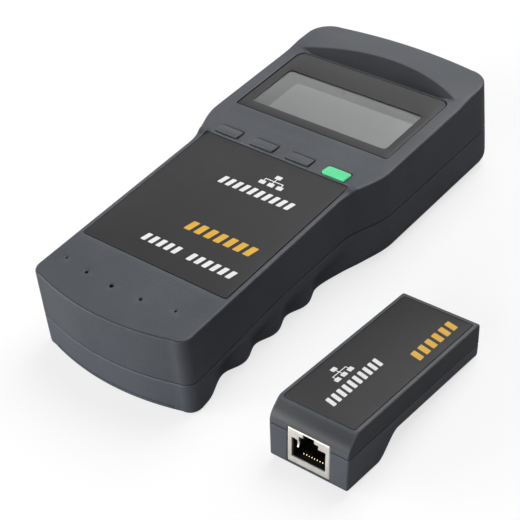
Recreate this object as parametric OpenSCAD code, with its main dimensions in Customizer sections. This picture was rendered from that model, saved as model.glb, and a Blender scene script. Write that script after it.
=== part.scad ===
// Handheld network cable tester: main unit with display, keys and two jacks,
// and the small remote unit that goes on the far end of the cable.
// Main unit: the handle end points to -Y, the display head to +Y, the back lies on Z = 0.

/* [Main unit body] */
// Width of the handle at the parting line
handle_w = 68.4; // [66:0.2:72]
// Width of the display head at the parting line
head_w = 80; // [78:0.5:84]
// Overall length of the main unit
body_l = 179; // [177:0.2:181]
// Height of the parting line between the two shells
part_z = 16.5; // [15.5:0.5:17]
// Wall thickness of both shells
wall = 2; // [1.6:0.1:2.2]
// Depth of the finger grooves in the back shell
groove_d = 2.4; // [0.5:0.1:2.4]
// Spacing of the finger grooves along the handle
groove_pitch = 17; // [15:0.5:18]

/* [Faceplate and display] */
// Thickness of the faceplate on the handle
plate_t = 0.6; // [0.4:0.1:0.8]
// Width of the display bezel
bezel_w = 68.4; // [66:0.2:69]
// Length of the display bezel along the unit
bezel_l = 40; // [38:0.5:41]
// Width of the window in the bezel
window_w = 60.6; // [56:0.2:62]
// Length of the window in the bezel
window_l = 23.8; // [20:0.2:26]

/* [Keys] */
// Width of one key across the unit
key_w = 10; // [8:0.2:11]
// Length of one key along the unit
key_l = 4.4; // [4:0.1:5]
// Spacing of the keys across the unit
key_pitch = 16.2; // [15:0.1:17]
// Clearance between a key and its opening
key_gap = 0.25; // [0.2:0.05:0.4]
// How far the keys stand out of the shell
key_proud = 0.9; // [0.8:0.1:1.2]

/* [Cable jacks] */
// Width of the eight-contact modular jack over its shield
jack_w = 16; // [15.5:0.1:16.2]
// Height of the jack over its shield
jack_h = 13.3; // [13:0.1:13.6]
// Depth of the jack
jack_d = 15.4; // [14:0.1:16]
// Distance between the middles of the two jacks in the head
jack_pitch = 28; // [26:0.5:32]

/* [Batteries] */
// Diameter of one cell
cell_d = 10.5; // [10:0.1:10.5]
// Length of one cell with its button
cell_l = 44.5; // [44:0.1:44.5]

/* [Remote unit] */
// Width of the remote unit
rem_w = 30.1; // [29:0.1:32]
// Length of the remote unit
rem_l = 73.8; // [72:0.2:80]
// Height of the remote unit's front block
rem_h = 20.6; // [20.4:0.1:22]
// Height of the step in the underside of the remote unit
rem_step = 7.8; // [7:0.1:8]
// Position of the remote unit's middle across the main unit
rem_x = 80.5; // [76:0.5:140]
// Angle of the remote unit about the vertical
rem_yaw = 0.9; // [-20:0.1:20]

/* [Hidden] */

y_org = 88.5;                // position of the origin along the unit
y_a = -1;                    // handle end
y_b = y_a + body_l;          // head end
hw = handle_w / 2;
dw = head_w / 2;
e = 0.01;
flare0 = 86;                 // where the handle starts to widen
flare1 = 108;                // where the head has its full width
rc_end = 5;                  // corner radius at the handle end
rc_head = 8.5;               // corner radius at the head end
end_k = 0.005;               // bow of the handle end
head_k = 0.0028;             // bow of the head end
z_end = 31.7;                // height of the front at the handle end
z_lab = 34.1;                // height of the front at the top of the faceplate
z_key = 34.5;                // height of the front at the keys
z_lip = 35.1;                // height of the front at the bezel's lower edge
z_crown = 36.1;              // height of the crown behind the display
step_y = 94.6;               // lower edge of the head
plate_y0 = 27.9;
plate_y1 = 93.8;
bez_y0 = 113.8;
win_y0 = 118.3;
key_y = 98.0;
board_z0 = 24.4;
board_z1 = 26.0;
boss_xy = [[28.3, 84], [-28.3, 84], [34.6, 157.5], [-34.6, 157.5]];
post_xy = [[18, 86], [-18, 86], [24, 24], [-24, 24]];
tray_y0 = 20.5;
tray_y1 = 72.8;
tray_x = 2 * cell_d + 0.6;
tray_top = 2.3 + cell_d + 0.5;
door_w = 24.7;
door_y1 = 75.6;
jack_yf = y_b - 0.7;         // front face of the head's jacks
rem_t = 1.6;                 // wall of the remote unit
rem_part = 12.7;             // parting line of the remote unit
rem_b = 17.9;                // length of the remote unit's front block
rem_pitch = atan(rem_step / (rem_l - rem_b));
rem_face_t = 0.6;

module place() translate([0, -y_org, 0]) children();
module mx() { children(); mirror([1, 0, 0]) children(); }

function smooth(t) = let (c = max(0, min(1, t))) c * c * (3 - 2 * c);
function half_w(y, w) = hw - w + (dw - hw) * smooth((y - flare0) / (flare1 - flare0));
function groove(y) =
  let (y0 = 23.5, y1 = 23.5 + 3 * groove_pitch, full = groove_d + 1.2)
  y < y0 ? full * smooth((y - 12) / (y0 - 12)) :
  y > y1 ? full * smooth((93 - y) / (93 - y1)) :
  groove_d + 1.2 * cos(360 * (y - y0) / groove_pitch);
function end_y(x) = y_a + end_k * x * x;
function far_y(x) = y_b - head_k * x * x;
function right_side(w, g) = concat(
  [for (x = [0 : 6.5 : 19.5]) [x, end_y(x) + w]],
  [for (a = [-90 : 15 : 0]) [hw - rc_end + (rc_end - w) * cos(a), end_y(hw - rc_end) + rc_end + (rc_end - w) * sin(a)]],
  [for (y = [14 : 3 : 107]) [half_w(y, w) - g * groove(y), y]],
  [for (a = [0 : 15 : 90]) [dw - rc_head + (rc_head - w) * cos(a), far_y(dw - rc_head) - rc_head + (rc_head - w) * sin(a)]],
  [for (x = [24 : -8 : 0]) [x, far_y(x) - w]]);
function whole(h) = concat(h, [for (i = [len(h) - 2 : -1 : 1]) [-h[i][0], h[i][1]]]);
function outline(w, g = 0) = whole(right_side(w, g));

// front height of the main unit along its length
top_line = [[-5, z_end - 0.1], [step_y, z_lab], [step_y, z_key], [108, z_key], [bez_y0, z_lip], [154, 35.5], [163, z_crown], [y_b + 5, 35.2]];
function drop(p, d) = [for (q = p) [q[0], q[1] - d]];

module along_x(pts, w) translate([w, 0, 0]) rotate([90, 0, -90]) mirror([1, 0, 0]) linear_extrude(2 * w) polygon(pts);
module box(x0, x1, y0, y1, z0, z1) translate([x0, y0, z0]) cube([x1 - x0, y1 - y0, z1 - z0]);

// round wire along a list of points
module wire(path, r, sides = 6) {
  n = len(path);
  function unit(v) = v / norm(v);
  function tang(i) = unit(path[min(i + 1, n - 1)] - path[max(i - 1, 0)]);
  pts = [for (i = [0 : n - 1]) let (t = tang(i), u = unit(cross(t, abs(t[2]) < 0.9 ? [0, 0, 1] : [1, 0, 0])), v = cross(t, u))
    for (k = [0 : sides - 1]) path[i] + r * (cos(360 * k / sides) * u + sin(360 * k / sides) * v)];
  faces = concat(
    [[for (k = [sides - 1 : -1 : 0]) k]],
    [[for (k = [0 : sides - 1]) (n - 1) * sides + k]],
    [for (i = [0 : n - 2]) for (k = [0 : sides - 1]) let (l = (k + 1) % sides) [i * sides + k, i * sides + l, (i + 1) * sides + k]],
    [for (i = [0 : n - 2]) for (k = [0 : sides - 1]) let (l = (k + 1) % sides) [i * sides + l, (i + 1) * sides + l, (i + 1) * sides + k]]);
  polyhedron(pts, faces, convexity = 8);
}

/* ---------- main unit, housing ---------- */

module front_shell() color("#4b4f55") difference() {
  union() {
    difference() {
      intersection() {
        translate([0, 0, part_z]) linear_extrude(30) polygon(outline(0.3));
        along_x(concat([[-5, 0]], top_line, [[y_b + 5, 0]]), 50);
      }
      intersection() {
        translate([0, 0, part_z - 1]) linear_extrude(30) polygon(outline(wall + 0.3));
        along_x(concat([[-5, 0]], drop(top_line, wall), [[y_b + 5, 0]]), 50);
      }
    }
    // screw bosses and board posts
    for (p = boss_xy) intersection() {
      translate([p[0], p[1], part_z]) cylinder(h = 20, r = 2.8, $fn = 32);
      along_x(concat([[-5, 0]], drop(top_line, 1), [[y_b + 5, 0]]), 50);
    }
    for (p = post_xy) intersection() {
      translate([p[0], p[1], board_z1]) cylinder(h = 12, r = 2.2, $fn = 32);
      along_x(concat([[-5, 0]], drop(top_line, 1), [[y_b + 5, 0]]), 50);
    }
  }
  for (p = boss_xy) translate([p[0], p[1], part_z - 1]) cylinder(h = 11, r = 1.2, $fn = 32);
  for (p = post_xy) translate([p[0], p[1], board_z1 - 1]) cylinder(h = 5, r = 0.8, $fn = 32);
  // recess for the faceplate
  intersection() {
    box(-32.1, 32.1, plate_y0 - 0.1, plate_y1 + 0.1, 30, 36);
    along_x([[-5, 40], [-5, z_end - 0.1 - plate_t], [step_y, z_lab - plate_t], [step_y, 40]], 50);
  }
  // recess for the bezel and the hole behind it
  box(-bezel_w / 2 - 0.1, bezel_w / 2 + 0.1, bez_y0 - 0.1, bez_y0 + bezel_l + 0.1, 33.7, 40);
  box(-32.1, 32.1, 116.4, 144.1, 30, 40);
  // shallow crescent between the bezel and the crown
  intersection() {
    translate([0, 96.6, 34.9]) cylinder(h = 5, r = 68, $fn = 96);
    box(-40, 40, bez_y0 + bezel_l, 170, 34.9, 40);
  }
  // key openings
  for (i = [-1.5 : 1 : 1.5]) box(i * key_pitch - key_w / 2 - key_gap, i * key_pitch + key_w / 2 + key_gap,
    key_y - key_l / 2 - key_gap, key_y + key_l / 2 + key_gap, 28, 40);
  // sound holes over the buzzer
  for (h = [[-4.5, 12.6, 0.85], [8.2, 12.8, 0.65], [-16.4, 13.2, 0.65], [21.8, 14.6, 0.45], [-27.4, 14.9, 0.45]])
    translate([h[0], h[1], 28.5]) cylinder(h = 6, r = h[2], $fn = 24);
  // openings for the jacks
  for (s = [-1, 1]) box(s * jack_pitch / 2 - jack_w / 2 - 0.1, s * jack_pitch / 2 + jack_w / 2 + 0.1, 165, 185, 10, board_z0 + 0.1);
}

module back_shell() color("#45494f") difference() {
  union() {
    difference() {
      union() for (l = [[2.0, 1, 0, 0.8], [0.7, 1, 0.7, 2.2], [0, 1, 2.1, 10.5], [0, 0.6, 10.4, 13], [0, 0.25, 12.9, 15], [0, 0, 14.9, part_z]])
        translate([0, 0, l[2]]) linear_extrude(l[3] - l[2]) polygon(outline(l[0], l[1]));
      union() for (l = [[wall, 1, wall + 0.6, 10], [wall, 0.6, 9.9, 12.5], [wall, 0.25, 12.4, 14.5], [wall, 0, 14.4, part_z + 1]])
        translate([0, 0, l[2]]) linear_extrude(l[3] - l[2]) polygon(outline(l[0], l[1]));
    }
    // battery tray
    box(-tray_x - 1.6, tray_x + 1.6, tray_y0 - 1.6, tray_y1 + 1.4, 2.4, tray_top + 1);
    // door rails and floor
    box(-27.8, 27.8, 6, door_y1 + 1.6, 0.6, 3.4);
    // tubes around the case screws
    for (p = boss_xy) translate([p[0], p[1], 1.2]) cylinder(h = part_z - 1.2, r = 3.6, $fn = 32);
  }
  // space for the cells
  box(-tray_x, tray_x, tray_y0, tray_y1, 1, tray_top);
  // slots for the tabs of the end contacts
  for (i = [0, 3]) box(cell_x(i) - 1.8, cell_x(i) + 1.8, tray_y0 - 0.05, tray_y0 + 0.6, tray_top - 1, tray_top + 2);
  // channel for the sliding door, open at the handle end
  box(-door_w - 0.3, door_w + 0.3, -10, door_y1 + 0.3, -1, 2.1);
  box(-door_w - 1.8, door_w + 1.8, -10, door_y1 + 0.3, 0.6, 2.1);
  // case screw holes with sunk heads
  for (p = boss_xy) translate([p[0], p[1], -1]) { cylinder(h = 20, r = 1.7, $fn = 32); cylinder(h = 8, r = 3, $fn = 32); }
  for (s = [-1, 1]) box(s * jack_pitch / 2 - jack_w / 2 - 0.1, s * jack_pitch / 2 + jack_w / 2 + 0.1, 165, 185, board_z0 - jack_h - 0.1, 30);
}

module handle_faceplate() color("#3c3b3e") intersection() {
  linear_extrude(50) polygon([[-32, plate_y0], [32, plate_y0], [31.5, plate_y1], [-31.5, plate_y1]]);
  along_x([[-5, z_end - 0.1 - plate_t], [-5, z_end - 0.1], [step_y, z_lab], [step_y, z_lab - plate_t]], 50);
}

module display_bezel() color("#464447") difference() {
  box(-bezel_w / 2, bezel_w / 2, bez_y0, bez_y0 + bezel_l, 33.7, 34.9);
  box(-window_w / 2, window_w / 2, win_y0, win_y0 + window_l, 33, 36);
}

module display_lens() color([0.85, 0.9, 0.9, 0.4]) box(-31.8, 31.8, 116.7, 143.8, 32.7, 33.7);

module battery_door() color("#45494f") difference() {
  union() {
    intersection() { box(-door_w, door_w, -5, door_y1, 0.5, 1.8); linear_extrude(4) polygon(outline(0.7)); }
    intersection() { box(-door_w, door_w, -5, door_y1, 0, 0.6); linear_extrude(4) polygon(outline(1.8)); }
    box(-door_w - 1.5, door_w + 1.5, 6, door_y1 - 1, 0.9, 1.8);
  }
  // grip grooves
  for (y = [16 : 3 : 34]) box(-11, 11, y - 0.6, y + 0.6, -1, 0.5);
}

/* ---------- main unit, display and electronics ---------- */

module lcd_glass() color("#9aa39b") box(-31, 31, 114.9, 148.3, 29.2, 31.2);
module lcd_backlight() color("#eef2ee") box(-31.4, 31.4, 114.5, 146.4, board_z1, 29.2);
module zebra_strip() color("#2b2b2d") box(-29, 29, 146.9, 148.1, board_z1, 29.2);
module lcd_holder() color("#2e3033") difference() {
  box(-33.4, 33.4, 112.6, 150.2, board_z1, 31.4);
  box(-31.6, 31.6, 114.3, 148.5, board_z1 - 1, 33);
}

module main_board() color("#1f6b3a") difference() {
  union() {
    box(-29, 29, 6.6, 95, board_z0, board_z1);
    box(-31, 31, 94, 107, board_z0, board_z1);
    box(-36.5, 36.5, 106, 171, board_z0, board_z1);
  }
  for (p = boss_xy) translate([p[0], p[1], 20]) cylinder(h = 10, r = 3.3, $fn = 32);
  for (p = post_xy) translate([p[0], p[1], 20]) cylinder(h = 10, r = 1.2, $fn = 32);
}

module board_chips() color("#232325") {
  box(-6, 6, 40, 52, board_z1, board_z1 + 1.5);
  box(10, 20, 44, 50, board_z1, board_z1 + 1.6);
  box(-20, -12, 58, 64, board_z1, board_z1 + 1.6);
  box(-22, -17, 42, 47, board_z1, board_z1 + 1.2);
  for (i = [0 : 5]) box(-12 + 5 * i, -9.5 + 5 * i, 70, 71.4, board_z1, board_z1 + 0.6);
  for (x = [-16, 14]) translate([x, 34, board_z1]) cylinder(h = 4.4, r = 2.5, $fn = 32);
  box(-8, 8, 140, 152, board_z0 - 1.6, board_z0);
}

module tact_switches() color("#b9bcc0") for (i = [-1.5 : 1 : 1.5]) difference() {
  box(i * key_pitch - 3, i * key_pitch + 3, key_y - 3, key_y + 3, board_z1, 28);
  translate([i * key_pitch, key_y, board_z1 + 0.2]) cylinder(h = 4, r = 1.85, $fn = 32);
}

module plunger(i) color("#d8d2c2") translate([i * key_pitch, key_y, 27]) cylinder(h = 2, r = 1.7, $fn = 32);
module plunger_power() plunger(-1.5);
module plunger_up() plunger(-0.5);
module plunger_down() plunger(0.5);
module plunger_enter() plunger(1.5);

module key(i, r) translate([i * key_pitch, key_y, 0]) {
  // cap
  difference() {
    box(-key_w / 2, key_w / 2, -key_l / 2, key_l / 2, 31.2, z_key + key_proud);
    for (s = [-1, 1]) translate([s * key_w / 2, key_l / 2, 30]) rotate([0, 0, 45]) cube([r, r, 20], center = true);
  }
  // retaining flange and stem
  box(-key_w / 2 - 0.9, key_w / 2 + 0.9, -key_l / 2 - 0.8, key_l / 2 + 0.8, 31.1, 32.0);
  translate([0, 0, 29]) cylinder(h = 2.5, r = 1.3, $fn = 32);
}
module key_power() color("#4b4f55") key(-1.5, 0.8);
module key_up() color("#4b4f55") key(-0.5, 0.8);
module key_down() color("#4b4f55") key(0.5, 0.8);
module key_enter() color("#4be487") key(1.5, 1.6);

module buzzer() color("#1d1d1f") difference() {
  translate([0, 14, board_z1]) cylinder(h = 3.2, r = 6, $fn = 48);
  translate([0, 14, board_z1 + 2.2]) cylinder(h = 3, r = 1, $fn = 24);
}

/* ---------- eight-contact modular jack: mouth at y = 0 facing -Y, latch side up, middle of the underside at the origin ---------- */

jc_z = 2.6;      // underside of the plug space
jc_w = 11.8;     // width of the plug space
jc_h = 7.0;      // height of the plug space
module plug_space(d) {
  box(-jc_w / 2, jc_w / 2, -1, d, jc_z, jc_z + jc_h);
  box(-3.2, 3.2, -1, d, jc_z + jc_h - 1, jc_z + jc_h + 1.3);
  box(-1.75, 1.75, -1, d, jc_z + jc_h, jc_z + jc_h + 2.6);
}
module jack_shield() color("#c9cac6") difference() {
  box(-jack_w / 2, jack_w / 2, 0, jack_d, 0, jack_h);
  box(-jack_w / 2 + 0.4, jack_w / 2 - 0.4, 0.4, jack_d - 0.4, 0.4, jack_h - 0.4);
  box(-jc_w / 2 - 0.3, jc_w / 2 + 0.3, -1, 1, jc_z - 0.3, jc_z + jc_h + 0.3);
  box(-3.5, 3.5, -1, 1, jc_z + jc_h - 1, jc_z + jc_h + 1.6);
  box(-2.05, 2.05, -1, 1, jc_z + jc_h, jc_z + jc_h + 2.9);
}
module jack_insert() color("#1c1c1e") difference() {
  box(-jack_w / 2 + 0.4, jack_w / 2 - 0.4, 0.4, jack_d - 0.4, 0.4, jack_h - 0.4);
  plug_space(12);
  // slots that the contacts lie in
  for (i = [-3.5 : 1 : 3.5]) box(i * 1.02 - 0.3, i * 1.02 + 0.3, 1.6, jack_d - 2, jc_z - 0.7, jc_z + 0.1);
}
module jack_contacts() color("#d9b25c") for (i = [-3.5 : 1 : 3.5]) translate([i * 1.02 - 0.175, 0, 0]) {
  translate([0, 2, jc_z - 0.5]) cube([0.35, 10.2, 0.35]);
  translate([0, 2.2, jc_z - 0.5]) rotate([7.5, 0, 0]) cube([0.35, 9.4, 0.35]);
}
module head_jack(s) place() translate([s * jack_pitch / 2, jack_yf, board_z0 - jack_h]) rotate([0, 0, 180]) children();

/* ---------- power ---------- */

function cell_x(i) = (i - 1.5) * (cell_d + 0.1);
module cell(flip) {
  body = cell_l - 1;
  translate([0, flip ? 0 : cell_l, 0]) rotate([flip ? -90 : 90, 0, 0]) {
    translate([0, 0, 0]) cylinder(h = body, r = cell_d / 2, $fn = 48);
    cylinder(h = cell_l, r = 1.9, $fn = 32);
  }
}
// cells lie side by side with alternating direction
module battery_cells() color("#b98b3e") for (i = [0 : 3])
  translate([cell_x(i), i % 2 == 0 ? tray_y1 - 0.4 - cell_l : tray_y0 + 0.4, 2.3 + cell_d / 2]) cell(i % 2 == 0);
function coil(n, l, r0, r1) = [for (k = [0 : n * 12]) let (t = k / (n * 12), r = r0 + (r1 - r0) * t) [r * cos(30 * k), t * l, r * sin(30 * k)]];
spring_l = tray_y1 - tray_y0 - 0.8 - cell_l - 0.8;
module battery_springs() color("#c9cac6") for (i = [0 : 3]) translate([cell_x(i), i % 2 == 0 ? tray_y0 + 0.8 : tray_y1 - 0.8, 2.3 + cell_d / 2])
  mirror([0, i % 2, 0]) wire(coil(3.5, spring_l - 0.4, 3.6, 2.6), 0.35);
module battery_contacts() color("#c9cac6") {
  // one plate per pair of cells at the head side, and at the handle end two single plates and one long one
  for (x = [[0, 1], [2, 3]]) box(cell_x(x[0]) - 3.5, cell_x(x[1]) + 3.5, tray_y1 - 0.4, tray_y1, 3.2, tray_top - 0.6);
  box(cell_x(1) - 3.5, cell_x(2) + 3.5, tray_y0, tray_y0 + 0.4, 3.2, tray_top - 0.6);
  for (i = [0, 3]) box(cell_x(i) - 3.5, cell_x(i) + 3.5, tray_y0, tray_y0 + 0.4, 3.2, tray_top - 0.6);
  for (i = [0, 3]) box(cell_x(i) - 1.5, cell_x(i) + 1.5, tray_y0, tray_y0 + 0.4, 10, tray_top + 2.6);
}
module battery_wires() for (s = [-1, 1]) color(s < 0 ? "#a8231f" : "#1a1a1c")
  wire([[s * 15.9, tray_y0 + 0.2, tray_top + 2.62], [s * 15.9, tray_y0 + 0.2, 18], [s * 15.8, tray_y0 + 0.6, 19.4], [s * 15.4, tray_y0 + 1.6, 20.8], [s * 14.8, tray_y0 + 2.8, 21.8], [s * 14.4, tray_y0 + 3.6, 22.8], [s * 14.4, tray_y0 + 3.7, board_z0 - 0.06]], 0.6);

/* ---------- fasteners ---------- */

module screw(l, r, rh, hh) { cylinder(h = hh, r = rh, $fn = 32); cylinder(h = l, r = r, $fn = 32); }
module cross_drive(z, r) { box(-r, r, -0.3, 0.3, z - 1, z + 0.8); box(-0.3, 0.3, -r, r, z - 1, z + 0.8); }
module case_screws() color("#8b8d90") for (p = boss_xy) translate([p[0], p[1], 4.6]) difference() { screw(20.4, 1.2, 2.7, 2.4); cross_drive(0, 1.4); }
module board_screws() color("#8b8d90") for (p = post_xy) translate([p[0], p[1], board_z0 - 1.4]) difference() { screw(6.6, 0.8, 1.9, 1.4); cross_drive(0, 1); }

/* ---------- remote unit, in its own frame: mouth at y = 0, underside of the front block at z = 0 ---------- */

module remote_place() place() translate([rem_x, 3.5, 0]) rotate([0, 0, rem_yaw]) translate([0, rem_b * cos(rem_pitch), 0])
  rotate([-rem_pitch, 0, 0]) translate([0, -rem_b, 0]) children();
function rem_side(w) = concat(
  [[w, w], [rem_b + 0.0, w]],
  [for (t = [0.125 : 0.125 : 0.875]) [rem_b + 9 * t - w * 0.6 * (1 - abs(2 * t - 1)), w + rem_step * smooth(t)]],
  [[rem_b + 9, rem_step + w], [rem_l - w, rem_step + w], [rem_l - w, rem_h - w - 0.6], [rem_l - w - 0.6, rem_h - w], [5.1 + w * 0.4, rem_h - w], [1.6 + w * 0.8, rem_h - 3.2 - w * 0.2], [w, 14.6]]);
rr = 1.6;
function rem_plan(w) = [for (c = [[1, 0, -90], [1, 1, 0], [-1, 1, 90], [-1, 0, 180]]) for (a = [0 : 30 : 90])
  [c[0] * (rem_w / 2 - rr) + (rr - w) * cos(a + c[2]), (c[1] == 0 ? rr : rem_l - rr) + (rr - w) * sin(a + c[2])]];
module remote_solid(w) intersection() {
  along_x(rem_side(w), 30);
  translate([0, 0, -1]) linear_extrude(40) polygon(rem_plan(w));
}
rem_scr = [[0, 36], [0, 65]];
module remote_hollow() difference() {
  remote_solid(0);
  remote_solid(rem_t);
  box(-jack_w / 2 - 0.1, jack_w / 2 + 0.1, -1, jack_d + 0.4, 1.1, 1.2 + jack_h + 0.1);
}
module remote_bottom_shell() color("#45494f") difference() {
  union() {
    intersection() { remote_hollow(); box(-20, 20, -1, 80, -1, rem_part); }
    for (p = rem_scr) translate([p[0], p[1], rem_step + 0.4]) cylinder(h = rem_part - rem_step - 0.4, r = 3.2, $fn = 32);
  }
  for (p = rem_scr) translate([p[0], p[1], rem_step - 1]) { cylinder(h = 20, r = 1.3, $fn = 32); cylinder(h = 2.6, r = 2.4, $fn = 32); }
}
module remote_top_shell() color("#4b4f55") difference() {
  union() {
    intersection() { remote_hollow(); box(-20, 20, -1, 80, rem_part, 30); }
    for (p = rem_scr) translate([p[0], p[1], 1.2 + jack_h + 1.6]) cylinder(h = rem_h - rem_t + 0.4 - jack_h - 2.8, r = 2.6, $fn = 32);
  }
  box(-13.5, 13.5, 5.0, 71.8, rem_h - rem_face_t, 30);
  for (p = rem_scr) translate([p[0], p[1], 12]) cylinder(h = 6.4, r = 0.9, $fn = 32);
}
module remote_faceplate() color("#3c3b3e") box(-13.4, 13.4, 5.1, 71.7, rem_h - rem_face_t, rem_h);
module remote_board() color("#1f6b3a") difference() {
  box(-12.6, 12.6, 2.6, 70, 1.2 + jack_h, 1.2 + jack_h + 1.6);
  for (p = rem_scr) translate([p[0], p[1], 12]) cylinder(h = 6, r = 1.4, $fn = 32);
}
module remote_chips() color("#232325") {
  box(-4, 4, 44, 54, 1.2 + jack_h + 1.6, 1.2 + jack_h + 3.0);
  for (i = [0 : 3]) box(-9, -6.5, 22 + 4 * i, 23.4 + 4 * i, 1.2 + jack_h + 1.6, 1.2 + jack_h + 2.2);
  for (i = [0 : 3]) box(6.5, 9, 22 + 4 * i, 23.4 + 4 * i, 1.2 + jack_h + 1.6, 1.2 + jack_h + 2.2);
}
module remote_screws() color("#8b8d90") for (p = rem_scr) translate([p[0], p[1], rem_step + 0.3]) difference() { screw(9.6, 0.9, 2.2, 1.3); cross_drive(0, 1.2); }
module remote_jack() remote_place() translate([0, 0.2, 1.2]) children();

place() front_shell();
place() back_shell();
place() handle_faceplate();
place() display_bezel();
place() display_lens();
place() lcd_glass();
place() lcd_backlight();
place() lcd_holder();
place() zebra_strip();
place() main_board();
place() board_chips();
place() tact_switches();
place() buzzer();
place() key_power();
place() key_up();
place() key_down();
place() key_enter();
place() plunger_power();
place() plunger_up();
place() plunger_down();
place() plunger_enter();
head_jack(-1) jack_shield();  // main_jack_shield
head_jack(-1) jack_insert();  // main_jack_insert
head_jack(-1) jack_contacts();  // main_jack_contacts
head_jack(1) jack_shield();  // loop_jack_shield
head_jack(1) jack_insert();  // loop_jack_insert
head_jack(1) jack_contacts();  // loop_jack_contacts
place() battery_cells();
place() battery_springs();
place() battery_contacts();
place() battery_wires();
place() battery_door();
place() case_screws();
place() board_screws();
remote_place() remote_top_shell();
remote_place() remote_bottom_shell();
remote_place() remote_faceplate();
remote_place() remote_board();
remote_place() remote_chips();
remote_jack() jack_shield();  // remote_jack_shield
remote_jack() jack_insert();  // remote_jack_insert
remote_jack() jack_contacts();  // remote_jack_contacts
remote_place() remote_screws();
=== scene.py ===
import math

import bpy
import bmesh
import numpy as np
from mathutils import Matrix, Vector, geometry


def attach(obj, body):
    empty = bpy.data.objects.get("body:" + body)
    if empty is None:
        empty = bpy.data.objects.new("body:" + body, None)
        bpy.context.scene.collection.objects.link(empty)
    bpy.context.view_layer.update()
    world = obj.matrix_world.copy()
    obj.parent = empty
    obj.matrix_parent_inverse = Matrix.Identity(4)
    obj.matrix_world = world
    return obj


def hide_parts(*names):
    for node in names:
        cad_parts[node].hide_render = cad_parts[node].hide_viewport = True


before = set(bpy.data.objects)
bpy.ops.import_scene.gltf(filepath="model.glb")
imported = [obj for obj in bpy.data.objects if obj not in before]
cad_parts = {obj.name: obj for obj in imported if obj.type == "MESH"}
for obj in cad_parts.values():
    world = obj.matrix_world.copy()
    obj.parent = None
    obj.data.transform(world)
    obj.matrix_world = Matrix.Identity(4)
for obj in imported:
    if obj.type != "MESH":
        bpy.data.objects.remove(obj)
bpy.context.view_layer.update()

MM = 0.001
YO = 88.5                     # the origin's place along the unit, measured from the handle end's top edge


# ---------------------------------------------------------------- mesh helpers (all lengths in mm)

class Mesh:
    """Collects points and faces in mm, in the unit's own lengthwise coordinates."""

    def __init__(self):
        self.v = []
        self.f = []

    def pts(self, p):
        i = len(self.v)
        self.v += [tuple(float(c) for c in q) for q in p]
        return list(range(i, i + len(p)))

    def loft(self, loops, closed=True, flip=False):
        ids = [self.pts(l) for l in loops]
        n = len(loops[0])
        for a, b in zip(ids, ids[1:]):
            for j in range(n if closed else n - 1):
                k = (j + 1) % n
                q = (a[j], a[k], b[k], b[j])
                self.f.append(q[::-1] if flip else q)
        return ids

    def fan(self, loop, flip=False):
        """Flat cap of a loop, cut into triangles."""
        co = [Vector((p[0], p[1])) for p in loop]
        ids = self.pts(loop)
        for t in tri_fill(loop, []):
            q = tuple(ids[i] for i in t)
            self.f.append(q[::-1] if flip else q)

    def field(self, outer, holes, zf, extra=(), lines=(), flip=False):
        """Triangulated region between an outer loop and holes, with height zf(x, y)."""
        P, T = region(outer, holes, extra, lines)
        ids = self.pts([(p[0], p[1], zf(p[0], p[1])) for p in P])
        for t in T:
            q = tuple(ids[i] for i in t)
            self.f.append(q[::-1] if flip else q)


def inside(poly, pts):
    """Which points lie inside a polygon."""
    x, y = pts[:, 0], pts[:, 1]
    r = np.zeros(len(pts), bool)
    q = np.roll(poly, -1, 0)
    for (x0, y0), (x1, y1) in zip(poly, q):
        if y0 == y1:
            continue
        c = ((y0 > y) != (y1 > y)) & (x < (x1 - x0) * (y - y0) / (y1 - y0) + x0)
        r ^= c
    return r


def region(outer, holes, extra=(), lines=()):
    loops = [np.array([(p[0], p[1]) for p in l], float) for l in [outer] + list(holes)]
    P = [tuple(p) for l in loops for p in l]
    E = []
    i = 0
    for l in loops:
        n = len(l)
        E += [(i + j, i + (j + 1) % n) for j in range(n)]
        i += n
    for l in lines:
        E += [(i + j, i + j + 1) for j in range(len(l) - 1)]
        P += [tuple(p) for p in l]
        i += len(l)
    ex = np.array(extra, float).reshape(-1, 2)
    if len(ex):
        keep = inside(loops[0], ex)
        for h in loops[1:]:
            keep &= ~inside(h, ex)
        ex = ex[keep]
        edge = np.array(P)
        if len(ex):
            d = np.array([np.min(np.hypot(edge[:, 0] - a, edge[:, 1] - b)) for a, b in ex])
            ex = ex[d > 0.45]
        P += [tuple(p) for p in ex]
    out = geometry.delaunay_2d_cdt([Vector(p) for p in P], E, [], 0, 1e-5)
    V = np.array([(v.x, v.y) for v in out[0]])
    T = np.array([tuple(t) for t in out[2]])
    c = V[T].mean(1)
    keep = inside(loops[0], c)
    for h in loops[1:]:
        keep &= ~inside(h, c)
    return V, T[keep].tolist()


def tri_fill(loop, holes):
    V, T = region([(p[0], p[1]) for p in loop], holes)
    # the fill adds no points, so give back the loop's own numbering
    L = np.array([(p[0], p[1]) for p in loop])
    m = [int(np.argmin(np.hypot(L[:, 0] - v[0], L[:, 1] - v[1]))) for v in V]
    return [tuple(m[i] for i in t) for t in T]


def to_mesh(name, m, weld=2e-4, place=None):
    me = bpy.data.meshes.new(name)
    v = np.array(m.v, float)
    if place is None:
        v = v - np.array([0, YO, 0])
    else:
        v = np.array([place(*p) for p in v])
    me.from_pydata([tuple(p) for p in v * MM], [], [tuple(f) for f in m.f])
    bm = bmesh.new()
    bm.from_mesh(me)
    bmesh.ops.remove_doubles(bm, verts=bm.verts, dist=weld * MM * 10)
    bmesh.ops.dissolve_degenerate(bm, edges=bm.edges, dist=1e-8)
    bmesh.ops.recalc_face_normals(bm, faces=bm.faces)
    bm.to_mesh(me)
    bm.free()
    return me


def smooth(o, angle=32):
    me = o.data
    me.shade_smooth()
    me.set_sharp_from_angle(angle=math.radians(angle))
    return o


def new(name, m, place=None):
    o = bpy.data.objects.new(name, to_mesh(name, m, place=place))
    bpy.context.scene.collection.objects.link(o)
    return o


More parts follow.
